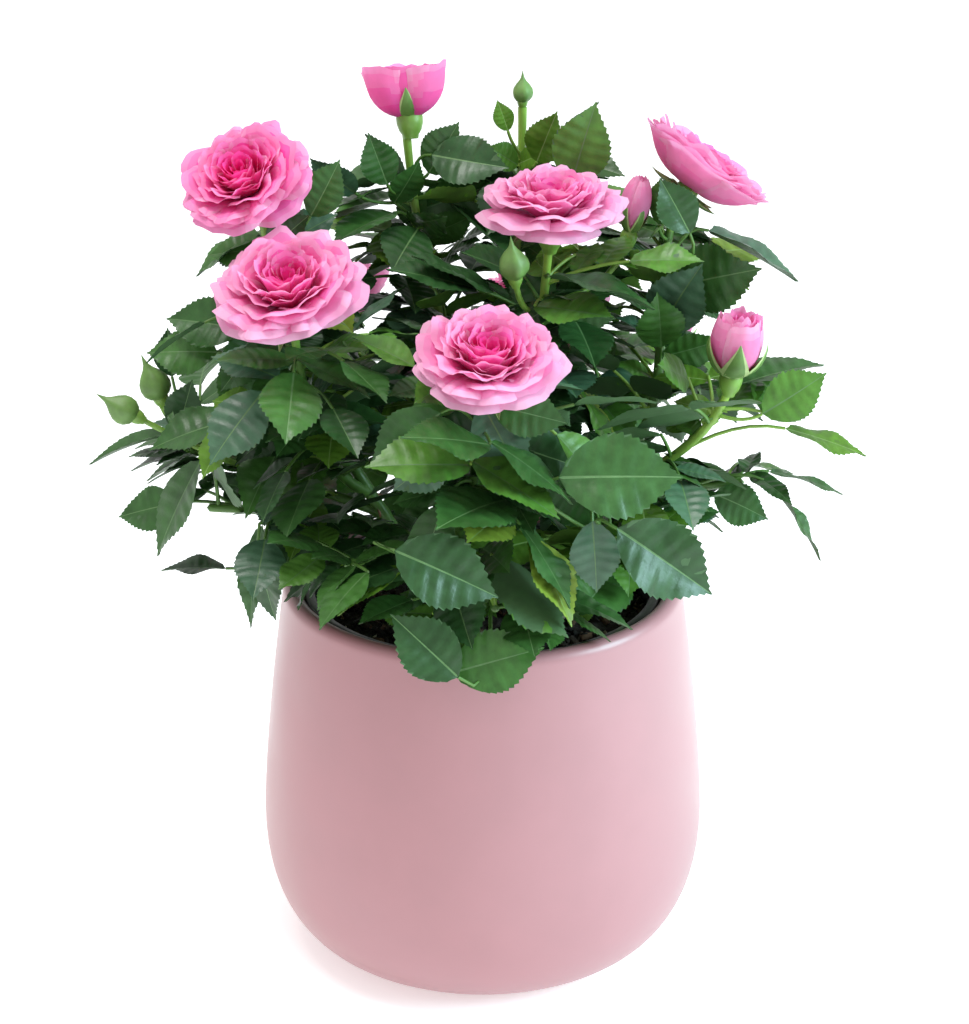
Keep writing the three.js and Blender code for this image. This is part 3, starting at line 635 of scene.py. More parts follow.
# Finer sprays that reach for a place of their own, by shoot: share of its leafy stem, tip, size, leaflets,
# droop or the end leaflet's own heading, green, and the way their upper side faces where that isn't FRONT.
FILL_REACHES = {
    "low_front_right": [
        (0.95, (58, -66, 192), 38, 1, (1, 0, 0.04), 1),
        (0.8, (71, -61, 151), 38, 1, (0.82, -0.05, -0.56), 0),
        (0.5, (36, -60, 150), 24, 1, (0.1, -0.1, -1), 6),
        (0.7, (44, -68, 164), 30, 3, 0.8, 1),
        (0.15, (36, -40, 132), 13, 3, 0.6, 4, UP),
        (0.12, (46, -26, 137), 13, 3, 0.5, 4, UP),
        (0.1, (20, -40, 128), 12, 3, 0.9, 4, UP),
        (0.08, (32, -34, 126), 11, 3, 0.8, 4, UP),
        (0.06, (44, -22, 127), 11, 3, 0.6, 5, UP),
    ],
    "low_front": [
        (0.6, (5, -76, 157), 35, 1, (0.93, -0.05, -0.4), 0),
        (0.7, (-4, -67, 138), 24, 1, (0.05, -0.1, -1), 3),
        (0.6, (10, -74, 164), 24, 1, 0.7, 2),
        (0.25, (26, -44, 130), 12, 3, 0.9, 3, UP),
        (0.8, (19, -78, 139), 29, 1, (0.95, 0, 0.3), 2),
        (0.7, (-28, -76, 151), 28, 1, (-0.7, 0.07, 0.7), 0),
    ],
    "front": [
        (0.5, (-27, -66, 184), 24, 1, (-0.75, 0, -0.65), 6),
        (0.9, (26, -62, 206), 24, 1, 0.3, 1),
        (0.8, (12, -66, 190), 26, 3, 0.7, 6),
        (0.8, (-33, -66, 194), 26, 3, 0.7, 1),
        (0.4, (30, -48, 186), 28, 3, 0.6, 0),
        (0.5, (-22, -52, 192), 28, 3, 0.7, 0),
    ],
    "top": [
        (0.92, (-37, 11, 279), 20, 1, -1.2, 1),
        (0.9, (8, 10, 266), 27, 1, 0.5, 0),
        (0.85, (-54, 6, 272), 20, 1, -0.4, 6, LEFT),
        (0.7, (-55, 3, 262), 22, 3, 0.2, 1, LEFT),
        (0.55, (-47, -2, 246), 27, 3, 0.5, 1, LEFT),
        (0.6, (-20, 2, 240), 30, 3, 0.8, 1),
        (0.5, (-8, 0, 250), 24, 3, 0.5, 2),
        (0.97, (-7, 17, 280), 20, 1, -0.6, 1),
        (0.65, (-24, 10, 262), 22, 3, 0.4, 1),
        (0.45, (-30, 0, 236), 26, 3, 0.7, 0),
    ],
    "crest": [
        (0.97, (5, 30, 285), 11, 1, -0.6, 4),
        (0.97, (24, 21, 284), 20, 1, -1.0, 4),
        (0.95, (30, 19, 273), 16, 1, -0.3, 4),
        (0.88, (20, 25, 268), 13, 1, 0.2, 4),
        (0.85, (1, 26, 270), 14, 1, 0.2, 3),
        (0.85, (36, 14, 289), 28, 1, -2.4, 3),
        (0.8, (46, 17, 264), 24, 3, 0.3, 1, RIGHT),
        (0.6, (2, 8, 246), 28, 3, 0.6, 0),
    ],
    "upper_right": [
        (0.95, (57, 4, 266), 16, 1, -1.2, 2, LEFT),
        (0.9, (58, 2, 250), 18, 1, 0.6, 3, LEFT),
        (0.5, (84, 10, 246), 20, 3, 0.1, 1),
        (0.35, (69, -6, 242), 30, 3, 0.2, 6),
        (0.2, (56, -12, 232), 26, 3, 0.5, 2),
        (0.8, (56, -4, 268), 20, 1, (-0.45, 0, 0.9), 0),
    ],
    "upper_left": [
        (0.85, (-46, 2, 254), 24, 3, 0.3, 6),
        (0.45, (-102, 2, 221), 26, 3, 0.0, 1, LEFT),
        (0.3, (-109, 0, 209), 24, 3, 0.1, 2, LEFT),
        (0.6, (-52, -14, 246), 26, 3, 0.4, 0),
        (0.95, (-44, 0, 272), 20, 1, -0.6, 1),
        (0.9, (-54, -6, 256), 20, 1, 0.2, 0),
    ],
    "far_left": [
        (0.6, (-117, 2, 171), 20, 1, 0.2, 1, UP),
        (0.8, (-100, -20, 196), 20, 1, -0.2, 2, LEFT),
        (0.7, (-104, 6, 214), 16, 1, (-0.1, 0, 1), 0),
        (0.75, (-93, -5, 202), 18, 1, (0.3, 0, 0.95), 0),
    ],
    "low_left": [
        (0.8, (-119, -18, 157), 22, 1, 0.2, 1, LEFT),
        (0.55, (-108, 2, 131), 22, 1, (-1, 0.1, 0.06), 0, UP),
        (0.3, (-66, -42, 134), 26, 1, (0.1, -0.1, -1), 0, LEFT),
    ],
    "far_right": [
        (0.9, (110, -18, 207), 24, 1, -0.4, 3, RIGHT),
        (0.3, (124, -16, 178), 28, 1, 0.4, 4, UP),
    ],
    "centre": [
        (0.6, (8, -22, 236), 24, 3, 0.6, 1),
        (0.35, (36, -24, 218), 28, 3, 0.6, 0),
    ],
    "middle_left": [(0.5, (-36, -50, 214), 26, 3, 0.6, 1)],
    "low_right": [(0.6, (95, -2, 152), 20, 1, (0.9, -0.2, -0.3), 1)],
}

# How far such a tip may move to find room.
SHIFTS = [
    (0, 0, 0), (0, -3, 0), (0, 3, 0), (0, -6, 1), (0, 6, -1), (3, -3, 0), (0, -9, 2), (0, 9, -2), (5, -6, 2),
]  # fmt: skip


def fill_foliage(name, index, crowd):
    """Smaller sprays between the large ones, for one shoot."""
    plan = PLANS[name]
    path, roll_dice = plan["path"], dice("fill", index)
    grown = []
    for at, tip, size, count, droop, tone, *facing in FILL_REACHES.get(name, ()):
        start, facing = path.at(on_stem(plan, at)), facing[0] if facing else FRONT
        for shift in SHIFTS:
            aimed = aimed_spray(start, np.array(tip) + shift, size, count, droop, facing)
            one = fill_spray(aimed, crowd, True, 1, FILL["aimed_limb"])
            if one:
                grown.append({**one, "tone": tone, "aimed": True})
                break
    for i in range(FILL["sprays"]):
        share = mix(0.0, 0.99, (i + roll_dice()) / FILL["sprays"])
        at = mix(plan["bough_end"] * 0.7, plan["stem_end"], share)
        start, tangent = path.at(at), path.heading(at)
        size, reach = roll_dice(*FILL["leaflet"]), roll_dice(*FILL["reach"])
        for _ in range(FILL["tries"]):
            leave = leaving(roll_dice(0, 360), tangent)
            droop, roll = roll_dice(*FILL["droop"]), math.radians(roll_dice(*FILL["roll"]))
            count = FILL["counts"][int(roll_dice(0, 3.999))]
            if leave is None:
                continue
            free = free_spray(start, leave, reach, droop, count, size, roll)
            if in_open(free["stalk"].point((0.5, 1)), True, FILL["stalk_limb"]).all():
                one = fill_spray(free, crowd, False, FILL["least"], CLEAR["limb"])
                if one:
                    grown.append(one)
                    break
    return grown


# ---- meshes


class Mesh:
    """Gathers points and faces, each with its material's number."""

    def __init__(self):
        self.points, self.loops, self.sizes, self.slots, self.count = [], [], [], [], 0

    def add(self, points, faces, slots=0):
        faces = np.asarray(faces, int)
        self.points.append(np.asarray(points, float).reshape(-1, 3))
        self.loops.append((faces + self.count).ravel())
        self.sizes.append(np.full(len(faces), faces.shape[1]))
        self.slots.append(np.broadcast_to(np.asarray(slots, int), (len(faces),)))
        self.count += len(self.points[-1])


def piece(name, mesh, materials, replaced=()):
    """A Blender object of a mesh, on the part's one body."""
    data = bpy.data.meshes.new(name)
    points, loops = np.vstack(mesh.points) * 0.001, np.concatenate(mesh.loops)
    sizes = np.concatenate(mesh.sizes)
    data.vertices.add(len(points))
    data.vertices.foreach_set("co", points.astype(np.float32).ravel())
    data.loops.add(len(loops))
    data.loops.foreach_set("vertex_index", loops.astype(np.int32))
    data.polygons.add(len(sizes))
    data.polygons.foreach_set("loop_start", (np.cumsum(sizes) - sizes).astype(np.int32))
    for material in materials:
        data.materials.append(material)
    data.polygons.foreach_set("material_index", np.concatenate(mesh.slots).astype(np.int32))
    data.update(calc_edges=True)
    data.validate()
    data.shade_smooth()
    made = bpy.data.objects.new(name, data)
    bpy.context.scene.collection.objects.link(made)
    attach(made, "root")
    if replaced:
        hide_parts(*replaced)


def grid_faces(rows, columns, closed=False):
    """Quads of a grid of points, row by row; a closed grid joins its last column to its first."""
    last = columns if closed else columns - 1
    r, c = np.meshgrid(np.arange(rows - 1), np.arange(last), indexing="ij")
    a, b = r * columns + c, r * columns + (c + 1) % columns
    return np.stack([a, b, b + columns, a + columns], -1).reshape(-1, 4)


def lathe(profile, sides):
    """Points and quads of a profile of (radius, height) pairs turned about +Z."""
    angles = np.arange(sides) * 2 * math.pi / sides
    profile = np.array(profile, float)
    x = np.outer(profile[:, 0], np.cos(angles))
    y = np.outer(profile[:, 0], np.sin(angles))
    z = np.repeat(profile[:, 1:2], sides, 1)
    return np.stack([x, y, z], -1).reshape(-1, 3), grid_faces(len(profile), sides, True)


def faced(points, place, face):
    """Points built facing +Z, turned to face another way and moved."""
    face = unit(face)
    axis, cosine = np.cross(UP, face), face[2]
    skew = np.array(((0, -axis[2], axis[1]), (axis[2], 0, -axis[0]), (-axis[1], axis[0], 0)))
    turn = np.eye(3) + skew + skew @ skew / (1 + cosine)
    return points @ turn.T + np.array(place, float)


def tube(mesh, rings, radii, sides, slot, round_end=False):
    """A tube over rings of (middle, across, other) with a radius each."""
    angles = np.arange(sides) * 2 * math.pi / sides
    points = []
    for (middle, across, other), radius in zip(rings, radii):
        points.append(middle + radius * (np.outer(np.sin(angles), across) + np.outer(np.cos(angles), other)))
    mesh.add(np.vstack(points), grid_faces(len(rings), sides, True), slot)
    end = rings[-1][0]
    if round_end:
        end = end + unit(end - rings[-2][0]) * radii[-1] * 0.7
    fan = [(k, (k + 1) % sides, sides) for k in range(sides)]
    mesh.add(np.vstack([points[-1], end]), fan, slot)


# ---- materials


def surface(name, colour, rough, wander=0.1, grain=260.0, relief=0.25, depth=0.0002, through=0.0, **sockets):
    """A node material whose colour, roughness and relief wander at the scale of grain; light may pass."""
    made = bpy.data.materials.new(name)
    made.use_nodes = True
    nodes, links = made.node_tree.nodes, made.node_tree.links

    def node(kind, **values):
        new = nodes.new(kind)
        put(new, values)
        return new

    def put(target, values):
        for socket, value in values.items():
            target.inputs[socket.replace("_", " ")].default_value = value

    def join(source, output, target, socket):
        links.new(source.outputs[output], target.inputs[socket])

    shader = nodes["Principled BSDF"]
    put(shader, sockets)
    place = node("ShaderNodeTexCoord")
    speckle = node("ShaderNodeTexNoise", Scale=grain, Detail=5)
    join(place, "Object", speckle, "Vector")
    ramp = node("ShaderNodeValToRGB")
    for element, position, factor in zip(ramp.color_ramp.elements, (0.32, 0.68), (1 - wander, 1 + wander)):
        element.position, element.color = position, (*(min(1, c * factor) for c in colour), 1)
    join(speckle, "Fac", ramp, "Fac")
    join(ramp, "Color", shader, "Base Color")
    gloss = node("ShaderNodeMapRange", From_Min=0.3, From_Max=0.7, To_Min=rough - 0.06, To_Max=rough + 0.06)
    join(speckle, "Fac", gloss, "Value")
    join(gloss, "Result", shader, "Roughness")
    fine = node("ShaderNodeTexNoise", Scale=grain * 3.7, Detail=3)
    join(place, "Object", fine, "Vector")
    bump = node("ShaderNodeBump", Strength=relief, Distance=depth)
    join(fine, "Fac", bump, "Height")
    join(bump, "Normal", shader, "Normal")
    if through:
        thin, both = node("ShaderNodeBsdfTranslucent"), node("ShaderNodeMixShader", Fac=through)
        join(ramp, "Color", thin, "Color")
        join(bump, "Normal", thin, "Normal")
        join(shader, "BSDF", both, 1)
        join(thin, "BSDF", both, 2)
        join(both, "Shader", nodes["Material Output"], "Surface")
    return made


# Leaf greens, from the darkest old leaves to young and yellow ones, with how often the rule deals each.
GREENS = [
    ("darkest", (0.020, 0.070, 0.017), 0.24), ("dark", (0.032, 0.102, 0.021), 0.28),
    ("deep", (0.045, 0.136, 0.024), 0.20), ("middle", (0.075, 0.195, 0.026), 0.13),
    ("fresh", (0.140, 0.300, 0.032), 0.05), ("yellow", (0.30, 0.44, 0.06), 0.01),
    # the last green is a painted sheen: whole leaves tinted grey-blue as if they reflected the light
    ("painted_sheen", (0.055, 0.130, 0.070), 0.09),
]  # fmt: skip
MIDDLE, FRESH, YELLOW = 3, 4, 5
LEAF_TOPS = [
    surface(
        f"leaf_{n}", c, 0.36, 0.2, 240, 0.35, 0.00016, 0.4 * (i in (FRESH, YELLOW)), Specular_IOR_Level=0.42
    )
    for i, (n, c, _) in enumerate(GREENS)
]
LEAF_RIBS = [
    surface("rib_dark", (0.10, 0.20, 0.07), 0.45, 0.1, 400),
    surface("rib_fresh", (0.24, 0.40, 0.11), 0.45, 0.1, 400),
]
LEAF_UNDERS = [
    surface("under_dark", (0.055, 0.125, 0.045), 0.58, 0.1, 300),
    surface("under_fresh", (0.16, 0.30, 0.06), 0.58, 0.1, 300, through=0.5),
]
LEAF_MATERIALS = LEAF_TOPS + LEAF_RIBS + LEAF_UNDERS
STEM_GREEN, STEM_FRESH, STEM_OLD, STEM_PRICKLE = range(4)
STEM_MATERIALS = [
    surface("stem_green", (0.085, 0.19, 0.035), 0.42, 0.18, 180),
    surface("stem_fresh", (0.22, 0.38, 0.06), 0.4, 0.14, 180),
    surface("stem_old", (0.11, 0.10, 0.045), 0.6, 0.3, 140, 0.6, 0.0006),
    surface("stem_prickle", (0.23, 0.10, 0.05), 0.5, 0.2, 300),
]

# Petal pinks from the depths of the bloom to the pale edges.
PINK_DEEP, PINK_MIDDLE, PINK_PALE = np.array(((0.97, 0.001, 0.33), (0.94, 0.115, 0.475), (0.93, 0.49, 0.71)))
TONES = 10


def pink(tone):
    """A petal's colour, by the number of its tone."""
    share = tone / (TONES - 1)
    if share < 0.5:
        return mix(PINK_DEEP, PINK_MIDDLE, share * 2)
    return mix(PINK_MIDDLE, PINK_PALE, share * 2 - 1)


PETAL_LOOK = {"through": 0.4, "Sheen_Weight": 0.05, "Specular_IOR_Level": 0.2}
PETAL_MATERIALS = [
    surface(f"petal_{i}", tuple(pink(i)), 0.6, 0.03, 420, 0.2, 0.0001, **PETAL_LOOK) for i in range(TONES)
]
HIP, SEPAL, SEPAL_EDGE, STALK_FRESH = range(4)
CALYX_MATERIALS = [
    surface("hip", (0.17, 0.32, 0.05), 0.42, 0.14, 260),
    surface("sepal", (0.115, 0.225, 0.05), 0.5, 0.18, 260),
    surface("sepal_edge", (0.38, 0.48, 0.20), 0.55, 0.1, 260),
    surface("stalk_fresh", (0.24, 0.42, 0.055), 0.42, 0.14, 180),
]

# ---- leaves

TEETH = 16
ROWS = TEETH * 2 + 1
# How round the blade is below its widest and how pointed above, the forward slant of its side veins and
# rows, its rib's half width, its teeth's depth and reach, its veins, the relief of quilting, edge and rib,
# and how far the rib sticks out underneath.
BLADE = {
    "below": 0.66, "above": 1.45, "slant": 0.16, "rib": 0.034, "tooth": 0.03, "hook": 0.011, "veins": 7.5,
    "quilt": 0.009, "edge": 0.004, "groove": 0.006, "thick": 0.018,
}  # fmt: skip
RIB, EDGE, BETWEEN = 0.05, 1, (0.33, 0.66)


def leaf_width(t):
    """Half a leaflet's width at shares of its length, from 0 to 1 at its widest."""
    widest = LEAFLET["widest"]
    before = np.sin(math.pi / 2 * np.clip(t / widest, 0, 1)) ** BLADE["below"]
    after = np.cos(math.pi / 2 * np.clip((t - widest) / round(1 - widest, 2), 0, 1)) ** BLADE["above"]
    return np.where(t < widest, before, after)


def leaf_template():
    """Along, across and relief of each point of a serrated leaflet, its faces, and each face's kind."""
    t = np.linspace(0, 1, ROWS)
    half = leaf_width(t)
    tooth = np.where(np.arange(ROWS) % 2 == 1, 1.0, -1.0)
    tooth[[0, -1]] = 0
    slant = BLADE["slant"] * t * (1 - t) ** 0.8
    sides = (EDGE, *BETWEEN[::-1], RIB)
    columns = []
    for column in [-side for side in sides] + list(sides[::-1]):
        size = abs(column)
        x = column * half
        if size == RIB:
            x = np.sign(column) * np.minimum(BLADE["rib"] * (1 - 0.7 * t), half * 0.5)
        along = t + slant * size
        if size == EDGE:
            x, along = x * (1 + BLADE["tooth"] * tooth), along + BLADE["hook"] * tooth
        vein = np.cos((t * BLADE["veins"] - 0.35 * size) * 2 * math.pi)
        relief = BLADE["quilt"] * vein * (size in BETWEEN) + BLADE["edge"] * vein * (size == EDGE)
        columns.append(np.stack([along, x, (relief - BLADE["groove"] * (size == RIB)) * half], -1))
    top = np.stack(columns, 1)
    bottom = top[:, [0, 3, 7]].copy()
    bottom[:, 1, 1] = 0
    bottom[1:-1, 1, 2] = -BLADE["thick"]
    bottom[:, [0, 2], 2] = -0.001
    faces_top, faces_bottom = grid_faces(ROWS, 8)[:, ::-1], grid_faces(ROWS, 3) + ROWS * 8
    is_rib = np.arange(len(faces_top)) % 7 == 3
    points = np.vstack([top.reshape(-1, 3), bottom.reshape(-1, 3)])
    kinds = np.concatenate([is_rib * 1, np.full(len(faces_bottom), 2)])
    return points, np.vstack([faces_top, faces_bottom]), kinds


# A face's kind is 0 on top, 1 on the rib and 2 underneath.
LEAF_POINTS, LEAF_FACES, LEAF_KINDS = leaf_template()


# How wide a leaflet is for its length; how much it folds, sags beside the rule's, waves and bends sideways.
LEAF_WIDTH, LEAF_FOLD, LEAF_SAG = (0.62, 0.72), (0.12, 0.42), (0.6, 1.35)
LEAF_WAVE, LEAF_CURL = (0.0, 0.05), (-0.07, 0.07)


def add_leaf(mesh, leaflet, tone, roll_dice, wide):
    """One serrated leaflet in the place of the source's thin diamond."""
    foot, ahead, side, normal, length = leaflet
    a, x, quilt = LEAF_POINTS.T
    width = roll_dice(*LEAF_WIDTH) / 2 * wide
    fold, sag = roll_dice(*LEAF_FOLD), LEAFLET["sag"] * roll_dice(*LEAF_SAG)
    wave, phase, curl = roll_dice(*LEAF_WAVE), roll_dice(0, 6.28), roll_dice(*LEAF_CURL)
    out = x * width
    waves = wave * np.sin(a * 9 + phase) * np.abs(x) * np.sign(x + 0.3)
    lift = np.abs(out) * fold - sag * a**2 + quilt + waves
    lift = lift - 0.5 * np.abs(out) ** 2.0
    points = foot + length * (np.outer(a, ahead) + np.outer(out + curl * a**2, side) + np.outer(lift, normal))
    fresh = int(tone in (FRESH, YELLOW))
    rib, under = len(LEAF_TOPS) + fresh, len(LEAF_TOPS) + len(LEAF_RIBS) + fresh
    mesh.add(points, LEAF_FACES, np.choose(LEAF_KINDS, (tone, rib, under)))


def deal_tone(roll_dice, young):
    """A spray's green; young shifts the deal towards fresh leaves."""
    at = roll_dice()
    if roll_dice() < young:
        return FRESH if roll_dice() < 0.75 else MIDDLE
    total = 0.0
    for i, (_, _, share) in enumerate(GREENS):
        total += share
        if at < total:
            return i
    return 1


def add_spray(leaves, twigs, one, roll_dice, young):
    """A spray's leaf stalk as far as its last leaflet, with stipules at its foot, and its leaflets."""
    tone = one.get("tone")
    tone = deal_tone(roll_dice, young) if tone is None else tone
    stalk, bright = one["stalk"], STEM_FRESH if tone in (MIDDLE, FRESH, YELLOW) else STEM_GREEN
    shares, feet = np.linspace(0, 1, 21), np.array([leaflet[0] for leaflet in one["leaflets"]])
    rings = rings_along(stalk, 0, shares[far_apart(feet, stalk.at(shares)).argmin(1).max()], 7, one["rolled"])
    radii = mix(SPRAY["stalk"], SPRAY["tip"], np.linspace(0, 1, 8)) * 0.95
    radii[0] *= 1.5
    tube(twigs, rings, radii, 5, bright)
    middle, across, _ = rings[0]
    for way in (-1, 1):
        tip = mix(rings[1][0], rings[2][0], 0.3) + across * way * 2.2
        twigs.add([middle, middle + across * way * 0.7, tip, rings[1][0]], [(0, 1, 2, 3)], bright)
    for leaflet in one["leaflets"]:
        add_leaf(leaves, leaflet, tone, roll_dice, one.get("wide", 1))


# ---- flowers

# Rings of petals, from the guard petals to the heart: count, how far out and how high the petals' edges
# reach in shares of the flower's size, how much a petal opens (or, below 0, cups) in degrees, ruffle, the
# pinks at foot and edge from 0 to 1, and how wide a petal is beside its even share of the ring.
OPEN_RINGS = [
    (5, 0.480, 0.130, 44, 0.040, 0.45, 0.94, 1.34),
    (6, 0.452, 0.190, 36, 0.046, 0.40, 0.94, 1.40),
    (6, 0.410, 0.240, 18, 0.048, 0.34, 0.92, 1.44),
    (6, 0.360, 0.280, -4, 0.048, 0.28, 0.92, 1.44),
    (6, 0.308, 0.310, -22, 0.046, 0.22, 0.90, 1.50),
    (6, 0.256, 0.330, -36, 0.044, 0.18, 0.88, 1.56),
    (5, 0.206, 0.340, -46, 0.040, 0.14, 0.86, 1.56),
    (5, 0.160, 0.342, -54, 0.036, 0.10, 0.80, 1.60),
    (4, 0.116, 0.334, -58, 0.030, 0.06, 0.72, 1.70),
    (3, 0.076, 0.318, -58, 0.022, 0.02, 0.60, 1.60),
    (3, 0.036, 0.296, -44, 0.014, 0.00, 0.46, 1.50),
]
BOWL_RINGS = [
    (5, 0.480, 0.230, -76, 0.016, 0.62, 0.90, 1.60),
    (6, 0.448, 0.262, -70, 0.026, 0.44, 0.92, 1.50),
    (6, 0.404, 0.288, -60, 0.034, 0.34, 0.92, 1.44),
    *(
        (count, out, rise * 0.86, opens, ruffle * 0.7, *rest)
        for count, out, rise, opens, ruffle, *rest in OPEN_RINGS[3:]
    ),
]
HALF_RINGS = [
    (3, 0.54, 0.70, -114, 0.020, 0.34, 0.78, 1.04),
    (3, 0.44, 0.68, -100, 0.026, 0.24, 0.62, 1.30),
    (4, 0.34, 0.66, -84, 0.030, 0.18, 0.58, 1.50),
    (4, 0.23, 0.64, -64, 0.028, 0.10, 0.50, 1.50),
    (3, 0.11, 0.62, -44, 0.018, 0.04, 0.44, 1.40),
]
BUD_RINGS = [
    (3, 0.27, 0.90, -108, 0.014, 0.58, 0.88, 1.30),
    (4, 0.20, 0.96, -92, 0.022, 0.40, 0.84, 1.45),
    (3, 0.12, 0.97, -74, 0.022, 0.26, 0.76, 1.50),
    (3, 0.05, 0.94, -40, 0.014, 0.16, 0.64, 1.40),
]
CLOSED_RINGS = [
    (3, 0.11, 0.92, -86, 0.004, 0.70, 0.90, 1.40),
    (3, 0.06, 0.95, -60, 0.004, 0.60, 0.82, 1.50),
]

# Each kind of flower. Petals: rings, lift, reflex of the edges, looseness, first turn, how far the outer
# petals' sides tuck in. Sepals: leans at foot and tip, length, width, lift, turn. Then the hip's radius.
# Lengths are shares of the flower's size, angles are degrees, and a turn of None is left to the dice.
FLOWERS = {
    "open": ((OPEN_RINGS, 0.05, 38, 1.2, None, 0.05), (58, 112, 0.38, 0.062, 0, None), 0.085),
    "bowl": ((BOWL_RINGS, 0.05, 38, 0.4, None, 0.05), (106, 68, 0.30, 0.12, -0.012, None), 0.085),
    "half": ((HALF_RINGS, 0.025, 36, 0.4, 90, 0.3), (92, 2, 0.66, 0.17, 0, 54), 0.18),
    "bud": ((BUD_RINGS, 0.025, 24, 0.5, None, 0.05), (80, -14, 0.92, 0.24, 0, 54), 0.17),
    "pale": ((CLOSED_RINGS, 0.04, 0, 0.4, None, 0.05), (60, -24, 0.72, 0.10, 0, 10), 0.14),
}
PETAL_ROWS, PETAL_COLUMNS = 12, 17
RING_TURN, LOOSE_RINGS = 37, 4
SEPALS, SEPAL_ROWS, SEPAL_COLUMNS = 5, 8, (-1, -0.72, 0, 0.72, 1)
HIP_PROFILE = np.array(
    ((0.55, -1.5), (0.62, -1.2), (0.85, -0.85), (1.0, -0.35), (1.02, 0.1), (0.9, 0.5), (0.72, 0.75),
     (0.1, 0.8))
)  # fmt: skip
GREEN_BUD_HIP = 0.2
GREEN_BUD_PROFILE = np.array(
    ((0.14, -0.04), (0.26, 0.04), (0.36, 0.18), (0.39, 0.34), (0.36, 0.50), (0.26, 0.66), (0.14, 0.80),
     (0.07, 0.92), (0.035, 1.06), (0.004, 1.2))
)  # fmt: skip


def arc(start, end, rows, reflex=0.0):
    """How far out and how high a unit-long blade gets, row by row, and its lean."""
    share = np.linspace(0, 1, rows)
    lean = np.radians(start + (end - start) * share + reflex * np.clip((share - 0.7) / 0.3, 0, 1) ** 2)
    step = (lean[1:] + lean[:-1]) / 2
    out = np.concatenate([[0], np.cumsum(np.sin(step))]) / (rows - 1)
    rise = np.concatenate([[0], np.cumsum(np.cos(step))]) / (rows - 1)
    return share, out, rise, lean


def petal(turn, start, end, length, spread, ruffle, point, reflex, tuck, roll_dice):
    """Points of a ruffled petal of a flower that faces +Z; it lies over one neighbour and under the other."""
    share, out, rise, lean = arc(start, end, PETAL_ROWS, reflex)
    across = np.linspace(-1, 1, PETAL_COLUMNS)
    phase, waves = roll_dice(0, 6.28), roll_dice(1.2, 2.2)
    reach = 1 - 0.2 * np.abs(across) ** 2.6 + point * np.exp(-(((across - roll_dice(-0.2, 0.2)) / 0.22) ** 2))
    reach = reach + 0.028 * np.sin(across * 5.5 + phase) + 0.018 * np.sin(across * 13 + phase * 2)
    angle = np.radians(turn + across * spread / 2)
    s = share[:, None]
    offset = across * 0.03 * (0.35 + s) + ruffle * s**3 * np.sin(across * math.pi * waves + phase)
    offset = offset + 0.42 * ruffle * s**4 * np.sin(across * math.pi * waves * 2.3 + phase * 3)
    offset = offset + tuck * across**2 * s * (1 - 0.6 * s)
    radial = out[:, None] * reach * length - np.cos(lean)[:, None] * offset * length
    height = rise[:, None] * reach * length + np.sin(lean)[:, None] * offset * length
    radial = np.maximum(radial, 0.012 * length * (0.4 + s))
    return np.stack([radial * np.cos(angle), radial * np.sin(angle), height], -1).reshape(-1, 3)


PETAL_FACES = grid_faces(PETAL_ROWS, PETAL_COLUMNS)
PETAL_SIDES = 0.34 * np.abs(np.linspace(-1, 1, PETAL_COLUMNS - 1)) ** 4 - 0.04


def add_petals(mesh, rings, lift, reflex, loose, turn, tuck, size, place, face, roll_dice, shade):
    """Rings of petals, of which the outer ones lie more loosely."""
    turn = roll_dice(0, 360) if turn is None else turn
    share = (np.arange(PETAL_ROWS - 1) + 0.5) / (PETAL_ROWS - 1)
    for depth, (count, out, rise, opens, ruffle, foot, edge, wide) in enumerate(rings):
        turn += RING_TURN if depth else 0
        slack = loose * (1 if depth < LOOSE_RINGS else 0.6)
        for i in range(count):
            way = turn + i * 360 / count + roll_dice(-9, 9) * slack
            lean = math.degrees(math.atan2(out, rise)) + roll_dice(-5, 5) * slack
            half = math.radians(abs(opens) / 2) + 1e-3
            swell = 1 + roll_dice(-0.05, 0.035) * loose
            long = math.hypot(out, rise) * half / math.sin(half) * size * swell
            point = roll_dice(0, 0.07) * loose if depth < LOOSE_RINGS else 0.0
            spread = min(185, 360 / count * wide * roll_dice(0.9, 1.08))
            start, end = lean - opens / 2, lean + opens / 2
            tucked = 0.05 if depth else tuck
            points = petal(way, start, end, long, spread, ruffle, point, reflex, tucked, roll_dice)
            points[:, 2] += size * lift
            tone = mix(foot, edge, share ** (1.1 + depth * 0.12)) + shade + roll_dice(-0.06, 0.06)
            # the last row goes paler still: a painted highlight along the petal's rim
            tone[-1] += 0.08
            tone = tone[:, None] + PETAL_SIDES * share[:, None]
            tones = np.clip(np.round(tone * (TONES - 1)), 0, TONES - 1).astype(int)
            mesh.add(faced(points, place, face), PETAL_FACES, tones.ravel())


def add_sepals(mesh, start, end, length, width, lift, turn, size, place, face, roll_dice):
    """Pointed sepals with pale edges."""
    turn = roll_dice(0, 70) if turn is None else turn
    length, width, lift = size * length, size * width, size * lift
    share, out, rise, lean = arc(start, end, SEPAL_ROWS)
    half = width * np.sin(math.pi * np.clip(share * 0.82 + 0.18, 0, 1)) ** 0.9 * (1 - 0.35 * share)
    half[-1] = width * 0.03
    for i in range(SEPALS):
        angle = math.radians(turn + i * 360 / SEPALS)
        outward = np.array((math.cos(angle), math.sin(angle), 0))
        aside = np.array((-math.sin(angle), math.cos(angle), 0))
        points = []
        for column in SEPAL_COLUMNS:
            hollow = 0.35 * half * column**2
            points.append(
                np.outer(out * length - np.cos(lean) * hollow, outward)
                + np.outer(rise * length + np.sin(lean) * hollow + lift, UP)
                + np.outer(half * column, aside)
            )
        kinds = np.tile((SEPAL_EDGE, SEPAL, SEPAL, SEPAL_EDGE), SEPAL_ROWS - 1)
        points = np.stack(points, 1).reshape(-1, 3)
        mesh.add(faced(points, place, face), grid_faces(SEPAL_ROWS, len(SEPAL_COLUMNS)), kinds)


